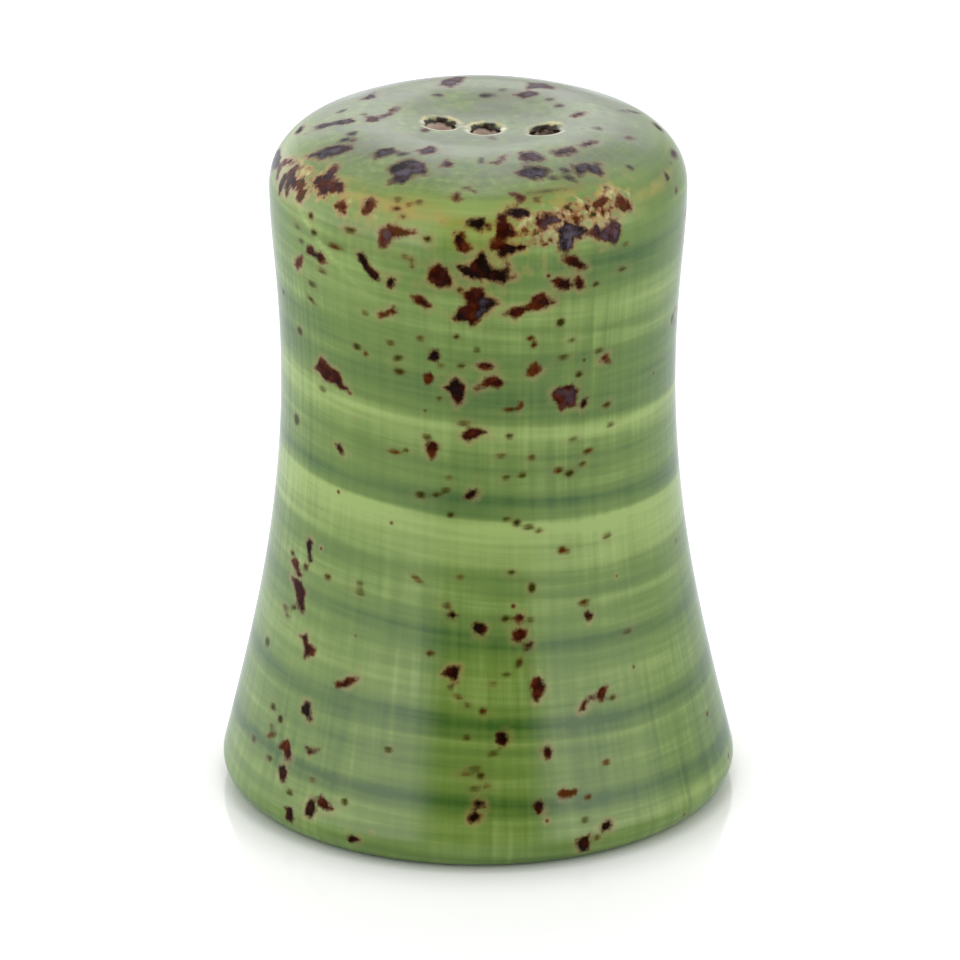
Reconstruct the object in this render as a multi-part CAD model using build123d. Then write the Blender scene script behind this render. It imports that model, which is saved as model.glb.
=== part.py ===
"""Spice shaker: a slip-cast, glazed porcelain body with three pour holes, and the soft
stopper that closes the filling hole in its base. Millimetres, +Z up, with the origin at
the centre of the foot, on the surface that the shaker stands on."""

from build123d import *
import math
import os

# ---- Outer shape of the body ------------------------------------------------------------
heel_diameter = 51.0  # widest point, just above the foot
heel_height = 2.4  # height of that widest point
heel_radius = 2.6  # rounding from the foot up into the skirt
skirt_flare = 13.4  # degrees from vertical, where the heel runs into the skirt
skirt_diameter = 42.9
skirt_height = 21.1
waist_diameter = 38.95
waist_height = 43.6
neck_diameter = 39.8
neck_height = 53.1
shoulder_diameter = 41.0  # where the side turns vertical, below the shoulder
shoulder_height = 62.5
shoulder_radius = 5.4
dome_radius = 43.3  # sphere that the top follows outside the dish
dish_drop = 2.45  # centre of the top below the full sphere
dish_radius = 50.0  # hollow of the dish round the pour holes
crest_radius = 15.0  # rounding from the dish over into the dome

# ---- Thickness of the clay, and the base ------------------------------------------------
wall = 3.4
base_floor = 4.0  # clay round the filling hole
inner_corner_radius = 3.0  # where the slip gathers between the floor and the wall
foot_ring_width = 3.7  # unglazed ring that the shaker stands on
foot_edge_radius = 0.7
recess_depth = 3.2
recess_draft = 1.0  # how much narrower the recess is at its ceiling
recess_corner_radius = 1.0
filling_hole_diameter = 20.0
filling_edge_radius = 0.5

# ---- Pour holes, along a straight row in the dish ---------------------------------------
pour_hole_diameter = 2.8
pour_rim_radius = 0.6
pour_row_x = 0.7  # the middle hole
pour_row_y = -1.6
pour_row_angle = -15.0  # degrees about +Z
pour_offsets = (-4.55, 0.0, 6.0)  # hand-set along the row, measured from the middle hole

# ---- Stopper ----------------------------------------------------------------------------
stopper_seat_gap = 0.05  # between its flange and the ceiling of the recess
rib_clearance = 0.05  # radial, between its sealing ribs and the filling hole
plug_clearance = 0.5  # radial, between its plain barrel and the filling hole
flange_diameter = 27.0
flange_thickness = 1.6
flange_edge_radius = 0.5
rib_height = 0.9
rib_inset = 0.55  # plain barrel left between a rib and the mouth of the hole
plug_above_floor = 2.8
plug_top_chamfer = 1.0
stopper_wall = 2.1
diaphragm = 1.3  # closed end of the barrel
pull_bar_width = 2.8
pull_bar_height = 3.2
pull_bar_edge_radius = 0.6

# ---- Sizes that follow ------------------------------------------------------------------
heel_centre_r = heel_diameter / 2 - heel_radius
shoulder_centre_r = shoulder_diameter / 2 - shoulder_radius
dome_centre_z = shoulder_height - math.sqrt(
    (dome_radius - shoulder_radius) ** 2 - shoulder_centre_r**2
)
dish_floor_z = dome_centre_z + dome_radius - dish_drop
dish_centre_z = dish_floor_z + dish_radius
floor_top_z = recess_depth + base_floor
foot_outer_r = heel_centre_r + math.sqrt(heel_radius**2 - heel_height**2)
recess_mouth_r = foot_outer_r - foot_ring_width
flange_top_z = recess_depth - stopper_seat_gap
barrel_r = filling_hole_diameter / 2 - plug_clearance
rib_r = filling_hole_diameter / 2 - rib_clearance


def crest_centre():
    """Centre (r, z) of the arc that touches the dome from inside and the dish from outside."""
    to_dome = dome_radius - crest_radius
    to_dish = dish_radius + crest_radius
    apart = dish_centre_z - dome_centre_z
    up = (apart**2 + to_dome**2 - to_dish**2) / (2 * apart)
    return math.sqrt(to_dome**2 - up**2), dome_centre_z + up


def arc(centre, radius, start, end):
    """Circular arc in the (r, z) plane between two directions, in degrees."""
    return CenterArc(centre, radius, start, end - start)


def top_arcs(inset):
    """Shoulder, dome, crest and dish, each moved inwards by inset, from the side to the axis."""
    crest_r, crest_z = crest_centre()
    to_shoulder = math.degrees(math.atan2(shoulder_height - dome_centre_z, shoulder_centre_r))
    to_crest = math.degrees(math.atan2(crest_z - dome_centre_z, crest_r))
    from_dish = math.degrees(math.atan2(crest_z - dish_centre_z, crest_r))
    shoulder = arc(
        (shoulder_centre_r, shoulder_height), shoulder_radius - inset, 0, to_shoulder
    )
    dome = arc((0, dome_centre_z), dome_radius - inset, to_shoulder, to_crest)
    crest = arc((crest_r, crest_z), crest_radius - inset, to_crest, from_dish + 180)
    dish = arc((0, dish_centre_z), dish_radius + inset, from_dish, -90)
    return [shoulder, dome, crest, dish]


def side_curve(start, start_tangent, inset):
    """Waisted side, from start up to the shoulder, where it ends vertical."""
    return Spline(
        start,
        (skirt_diameter / 2 - inset, skirt_height),
        (waist_diameter / 2 - inset, waist_height),
        (neck_diameter / 2 - inset, neck_height),
        (shoulder_diameter / 2 - inset, shoulder_height),
        tangents=[start_tangent, (0, 1)],
    )


def revolved(edges, bottom_r, bottom_z):
    """Solid of revolution under edges, which end on the axis; closed along its flat bottom."""
    top = (edges[-1] @ 1).Y
    closing = [Line((0, top), (0, bottom_z)), Line((0, bottom_z), (bottom_r, bottom_z))]
    return revolve(Plane.XZ * make_face(edges + closing), Axis.Z)


def outer_solid():
    """Body as if it were solid clay."""
    foot_angle = -math.degrees(math.asin(heel_height / heel_radius))
    heel = arc((heel_centre_r, heel_height), heel_radius, foot_angle, skirt_flare)
    flare = math.radians(skirt_flare)
    side = side_curve(heel @ 1, (-math.sin(flare), math.cos(flare)), 0)
    return revolved([heel, side] + top_arcs(0), foot_outer_r, 0)


def chamber():
    """Hollow for the spice, one wall inside the outer shape."""
    rise = skirt_height - floor_top_z
    bottom_r = skirt_diameter / 2 - wall + rise * math.tan(math.radians(skirt_flare))
    flare = math.radians(skirt_flare)
    side = side_curve((bottom_r, floor_top_z), (-math.sin(flare), math.cos(flare)), wall)
    hollow = revolved([side] + top_arcs(wall), bottom_r, floor_top_z)
    return fillet(hollow.edges().sort_by(Axis.Z)[0], inner_corner_radius)


def base_recess():
    """Shallow hollow under the base, drawn in towards its ceiling."""
    mouth = (recess_mouth_r, 0)
    ceiling = (recess_mouth_r - recess_draft, recess_depth)
    outline = Polyline((0, 0), mouth, ceiling, (0, recess_depth), close=True)
    recess = revolve(Plane.XZ * make_face(outline), Axis.Z)
    return fillet(recess.edges().group_by(Axis.Z)[-1], recess_corner_radius)


def pour_hole_places():
    """Centres (x, y) of the pour holes."""
    angle = math.radians(pour_row_angle)
    return [
        (pour_row_x + s * math.cos(angle), pour_row_y + s * math.sin(angle))
        for s in pour_offsets
    ]


def on_rim(edge, x, y):
    """Whether an edge runs round the upper mouth of the pour hole at (x, y)."""
    points = [edge @ t for t in (0, 0.25, 0.5, 0.75, 1)]
    offsets = [math.hypot(p.X - x, p.Y - y) - pour_hole_diameter / 2 for p in points]
    lowest = min(p.Z for p in points)
    return max(map(abs, offsets)) < 1e-3 and lowest > dish_floor_z - wall / 2


def make_body():
    """Porcelain body: shell, foot ring, filling hole and pour holes."""
    body = outer_solid() - chamber() - base_recess()
    filling = Pos(0, 0, floor_top_z / 2) * Cylinder(filling_hole_diameter / 2, floor_top_z)
    body -= filling
    hole_r = filling_hole_diameter / 2
    circles = body.edges().filter_by(GeomType.CIRCLE)
    filling_edges = [e for e in circles if abs(e.radius - hole_r) < 1e-3]
    body = fillet(filling_edges, filling_edge_radius)
    foot_edges = [
        e for e in body.edges().filter_by(GeomType.CIRCLE) if abs(e.center().Z) < 1e-3
    ]
    body = fillet(foot_edges, foot_edge_radius)
    for x, y in pour_hole_places():
        bore = Pos(x, y, shoulder_height) * Cylinder(
            pour_hole_diameter / 2, 4 * wall + shoulder_radius, align=(Align.CENTER,) * 3
        )
        body -= bore
        body = fillet([e for e in body.edges() if on_rim(e, x, y)], pour_rim_radius)
    return body


def stopper_profile():
    """Half section of the flange and the ribbed barrel, as if they were solid."""
    top = floor_top_z + plug_above_floor
    lower = recess_depth + filling_edge_radius + rib_inset
    upper = floor_top_z - filling_edge_radius - rib_inset - rib_height
    flange_bottom = flange_top_z - flange_thickness
    points = [
        (0, flange_bottom),
        (flange_diameter / 2, flange_bottom),
        (flange_diameter / 2, flange_top_z),
        (barrel_r, flange_top_z),
    ]
    for z in (lower, upper):
        points += [(barrel_r, z), (rib_r, z + rib_height / 4)]
        points += [(rib_r, z + rib_height * 3 / 4), (barrel_r, z + rib_height)]
    points += [
        (barrel_r, top - plug_top_chamfer),
        (barrel_r - plug_top_chamfer, top),
        (0, top),
    ]
    return Polyline(*points, close=True)


def make_stopper():
    """Soft stopper: flange, barrel open downwards, and a bar to pull it by."""
    flange_bottom = flange_top_z - flange_thickness
    top = floor_top_z + plug_above_floor
    hollow_r = barrel_r - stopper_wall
    stopper = revolve(Plane.XZ * make_face(stopper_profile()), Axis.Z)
    hollow_height = top - diaphragm - flange_bottom
    hollow = Pos(0, 0, flange_bottom + hollow_height / 2) * Cylinder(hollow_r, hollow_height)
    stopper -= fillet(hollow.edges().group_by(Axis.Z)[-1], stopper_wall / 2)
    rims = [
        e
        for e in stopper.edges().filter_by(GeomType.CIRCLE)
        if abs(e.radius - flange_diameter / 2) < 1e-3
    ]
    stopper = fillet(rims, flange_edge_radius)
    bar = Pos(0, 0, flange_bottom + pull_bar_height / 2) * Box(
        2 * hollow_r + stopper_wall, pull_bar_width, pull_bar_height
    )
    bar = fillet(bar.edges().filter_by(Axis.X), pull_bar_edge_radius)
    return stopper + bar


def main():
    os.makedirs("parts", exist_ok=True)
    export_step(make_body(), "parts/shaker_body.step")
    export_step(make_stopper(), "parts/base_stopper.step")


main()
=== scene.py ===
"""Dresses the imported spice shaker: a hand-banded reactive glaze on its porcelain body, the silicone
stopper in its base, and a plain studio round them. Sizes are millimetres until a mesh is made."""

import logging
import math
from collections.abc import Callable
from dataclasses import dataclass, field
from enum import Enum

import bpy
import numpy as np
from mathutils import Matrix, Vector
from mathutils.geometry import delaunay_2d_cdt

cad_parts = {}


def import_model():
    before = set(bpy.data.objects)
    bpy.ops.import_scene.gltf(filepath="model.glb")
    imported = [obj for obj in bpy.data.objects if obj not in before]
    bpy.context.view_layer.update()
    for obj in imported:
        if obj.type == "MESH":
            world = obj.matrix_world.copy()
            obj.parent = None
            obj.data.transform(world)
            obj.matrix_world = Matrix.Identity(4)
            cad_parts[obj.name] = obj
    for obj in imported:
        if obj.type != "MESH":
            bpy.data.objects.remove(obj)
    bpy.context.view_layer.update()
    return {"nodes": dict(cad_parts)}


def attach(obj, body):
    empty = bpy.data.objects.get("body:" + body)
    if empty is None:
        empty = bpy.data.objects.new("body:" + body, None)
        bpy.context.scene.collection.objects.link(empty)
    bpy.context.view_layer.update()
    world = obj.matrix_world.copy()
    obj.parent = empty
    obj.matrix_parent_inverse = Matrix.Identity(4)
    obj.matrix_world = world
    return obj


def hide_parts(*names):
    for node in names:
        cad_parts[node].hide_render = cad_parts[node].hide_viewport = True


LOG = logging.getLogger("spice_shaker")
MM = 0.001  # metres in a millimetre
RADIAN = 57.3  # degrees, near enough for a texture

Socket = bpy.types.NodeSocket


# ---- Small tools --------------------------------------------------------------------------


def linear(hex_colour: str) -> tuple[float, float, float, float]:
    """Turns a colour written in sRGB into the linear values that a shader reads.

    Args:
        hex_colour: Six hex digits, such as "7a8f5c".

    Returns:
        Red, green, blue and an alpha of 1.
    """
    parts = [int(hex_colour[i : i + 2], 16) / 255 for i in (0, 2, 4)]
    red, green, blue = (p / 12.92 if p <= 0.04045 else ((p + 0.055) / 1.055) ** 2.4 for p in parts)
    return red, green, blue, 1.0


@dataclass
class Graph:
    """The nodes of a material or of the world.

    Attributes:
        tree: The node tree.
        place: Each point's place in millimetres of the object's frame, in a material.
    """

    tree: bpy.types.NodeTree
    place: Socket | None = None

    def add(self, kind: str, *inputs: object, out: int | str = 0, **settings) -> Socket:
        """Adds a node with its settings, values and links.

        Args:
            kind: Its Blender type, after "ShaderNode".
            *inputs: Its inputs in order, or one dict of them by name or number, as feed takes them.
            out: Name or number of the output that is wanted.
            **settings: Its own properties.

        Returns:
            That output.
        """
        node = self.tree.nodes.new("ShaderNode" + kind)
        for name, value in settings.items():
            setattr(node, name, value)
        named = bool(inputs) and isinstance(inputs[0], dict)
        self.feed(node, inputs[0] if named else dict(enumerate(inputs)))
        return node.outputs[out]

    def feed(self, node: bpy.types.Node, inputs: dict) -> None:
        """Links a node's inputs to sockets, or sets their values.

        Args:
            node: The node.
            inputs: For each input's name or number, the socket that feeds it, its value, or the hex
                digits of its colour.
        """
        for name, value in inputs.items():
            if isinstance(value, Socket):
                self.tree.links.new(value, node.inputs[name])
            else:
                node.inputs[name].default_value = linear(value) if isinstance(value, str) else value

    def noise(self, millimetres: float, detail: float = 2.0, place: Socket | None = None) -> Socket:
        """Unevenness of a real size, centred on zero, from about -0.5 to 0.5.

        Args:
            millimetres: Size of its features.
            detail: How many finer layers it has.
            place: Where it is read, if that isn't the graph's own place.

        Returns:
            The unevenness.
        """
        inputs = {"Vector": place or self.place, "Scale": 1 / millimetres, "Detail": detail}
        return self.add("Math", self.add("TexNoise", inputs), 0.5, operation="SUBTRACT")


def set_stops(colour: Socket, stops: list[tuple[float, str | float]]) -> Socket:
    """Sets the stops of a colour ramp.

    Args:
        colour: The ramp's output.
        stops: Place from 0 to 1 of each stop, in rising order, and its hex digits or its grey.

    Returns:
        The same output.
    """
    elements = colour.node.color_ramp.elements
    while len(elements) < len(stops):
        elements.new(1.0)
    for element, (place, shade) in zip(elements, stops):
        element.position = place
        element.color = linear(shade) if isinstance(shade, str) else (shade, shade, shade, 1.0)
    return colour


def new_material(name: str) -> tuple[bpy.types.Material, Graph, bpy.types.Node]:
    """Makes a node material with a Principled shader.

    Args:
        name: The material's name.

    Returns:
        The material, its graph and its shader node.
    """
    material = bpy.data.materials.new(name)
    material.use_nodes = True
    graph = Graph(material.node_tree)
    metres = graph.add("TexCoord", out="Object")
    graph.place = graph.add("VectorMath", {0: metres, 3: 1 / MM}, operation="SCALE")
    return material, graph, material.node_tree.nodes["Principled BSDF"]


def arc(centre: tuple[float, float], radius: float, start: float, end: float, step: float) -> np.ndarray:
    """Points along a circular arc in the (r, z) plane.

    Args:
        centre: Centre of the arc.
        radius: Its radius.
        start: First direction, in radians from +r towards +z.
        end: Last direction.
        step: Longest distance between two points.

    Returns:
        An array of (r, z) rows.
    """
    count = max(3, math.ceil(abs(end - start) * radius / step) + 1)
    angles = np.linspace(start, end, count)
    return np.stack([centre[0] + radius * np.cos(angles), centre[1] + radius * np.sin(angles)], 1)


def line(start: tuple[float, float], end: tuple[float, float], step: float) -> np.ndarray:
    """Points along a straight line in the (r, z) plane, both ends included."""
    count = max(2, math.ceil(math.dist(start, end) / step) + 1)
    return np.linspace(start, end, count)


def rounded_path(corners: list[tuple[float, float, float]], step: float) -> np.ndarray:
    """Straight runs joined by tangent arcs.

    Args:
        corners: (r, z, radius of the rounding) of each point, of which the first and last stay sharp.
        step: Longest distance between two points.

    Returns:
        An array of (r, z) rows.
    """
    runs = []
    last = np.array(corners[0][:2])
    for before, here, after in zip(corners, corners[1:], corners[2:]):
        point = np.array(here[:2])
        back = np.array(before[:2]) - point
        ahead = np.array(after[:2]) - point
        back = back / np.linalg.norm(back)
        ahead = ahead / np.linalg.norm(ahead)
        half = math.acos(float(np.clip(back @ ahead, -1, 1))) / 2
        reach = here[2] / math.tan(half)
        middle = (back + ahead) / np.linalg.norm(back + ahead)
        centre = point + middle * here[2] / math.sin(half)
        first = point + back * reach - centre
        second = point + ahead * reach - centre
        start = math.atan2(first[1], first[0])
        turn = math.atan2(second[1], second[0]) - start
        turn = (turn + math.pi) % (2 * math.pi) - math.pi
        runs.append(line(tuple(last), tuple(point + back * reach), step)[:-1])
        runs.append(arc(tuple(centre), here[2], start, start + turn, min(step, here[2] / 4))[:-1])
        last = point + ahead * reach
    runs.append(line(tuple(last), corners[-1][:2], step))
    return np.concatenate(runs)


@dataclass(frozen=True)
class Spline:
    """A cubic curve r(z) through knots, with its slope given at both ends."""

    knots: np.ndarray
    radii: np.ndarray
    first_slope: float
    last_slope: float

    def slopes(self) -> np.ndarray:
        """Works out the slopes that make the curve smooth.

        Returns:
            Slope dr/dz at each knot.
        """
        gaps = np.diff(self.knots)
        rise = np.diff(self.radii) / gaps
        count = len(self.knots)
        matrix = np.zeros((count, count))
        right = np.zeros(count)
        matrix[0, 0] = matrix[-1, -1] = 1
        right[0], right[-1] = self.first_slope, self.last_slope
        for i in range(1, count - 1):
            matrix[i, i - 1 : i + 2] = 1 / gaps[i - 1], 2 / gaps[i - 1] + 2 / gaps[i], 1 / gaps[i]
            right[i] = 3 * (rise[i - 1] / gaps[i - 1] + rise[i] / gaps[i])
        return np.linalg.solve(matrix, right)

    def at(self, z: np.ndarray) -> np.ndarray:
        """Radius at each height.

        Args:
            z: Heights between the first and the last knot.

        Returns:
            The radii.
        """
        slopes = self.slopes()
        i = np.clip(np.searchsorted(self.knots, z, "right") - 1, 0, len(self.knots) - 2)
        gap = self.knots[i + 1] - self.knots[i]
        t = (z - self.knots[i]) / gap
        near = (1 + 2 * t) * (1 - t) ** 2 * self.radii[i] + t * (1 - t) ** 2 * gap * slopes[i]
        far = t**2 * (3 - 2 * t) * self.radii[i + 1] + t**2 * (t - 1) * gap * slopes[i + 1]
        return near + far


def mesh_object(name: str, vertices: np.ndarray, faces: list[tuple[int, ...]]) -> bpy.types.Object:
    """Makes a smooth-shaded mesh object from points in millimetres.

    Args:
        name: The object's name.
        vertices: An array of (x, y, z) rows, in millimetres.
        faces: Vertex numbers of each face.

    Returns:
        The object, linked to the scene.
    """
    mesh = bpy.data.meshes.new(name)
    mesh.from_pydata((vertices * MM).tolist(), [], faces)
    mesh.shade_smooth()
    made = bpy.data.objects.new(name, mesh)
    bpy.context.scene.collection.objects.link(made)
    return made


# ---- The pattern of the glaze ---------------------------------------------------------------

HEEL_ALONG = 3.9  # where the pattern's measure up the side stands at the heel's widest point
TOP_ABOVE = 2.6  # height above the side's upper end from which the pattern counts as on the top
SPECK_RAGGED = 0.3  # how uneven the edge of a small speck is, where a chip's is 1
SPECK_COVER = 1.25  # how much better a speck covers than its strength says, up to fully
SPECK_GROWTH = 0.05  # millimetres that a speck spreads into the glaze all round
TOP_PAINTED_SHEEN = 0.85  # how much painted grey sheen lies on the flecks on the top, standing in for their reflection
SIDE_REACH = 9.0  # millimetres round its place within which a shape on the side lies
TOP_REACH = 7.0  # and one on the top
BARE = -3.0  # signed distance where no fleck is near
FLECK_RANGE = (-2.5, 1.0)  # within which the stored signed distances are kept
BACK_FOR_CHIPS = (74, 282)  # degrees round, from the right side to the left by way of the back
BACK_FOR_SPECKS = (68, 288)


class Tone(Enum):
    """How thick a fleck of the iron glaze lies, which sets its colour."""

    INK = 0.0
    OXBLOOD = 0.33
    RUST = 0.66
    OLIVE = 1.0


@dataclass(frozen=True)
class Chip:
    """A shard-shaped fleck.

    On the side its corners are (degrees to the right of the front, millimetres up the side), and on
    the top they are (x, y) in millimetres.
    """

    tone: Tone
    corners: tuple[tuple[float, float], ...]
    bloom: float = 0.04  # how much painted grey sheen lies on it, standing in for its reflection


@dataclass(frozen=True)
class Speck:
    """A small oval fleck; lean turns it anticlockwise, in degrees, and the strength is how well it
    covers. Its place is in x and y, which mean what a Chip's corners mean."""

    tone: Tone
    x: float
    y: float
    width: float
    height: float
    lean: float = 0.0
    strength: float = 1.0


INK, OXBLOOD, RUST, OLIVE = Tone

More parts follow.
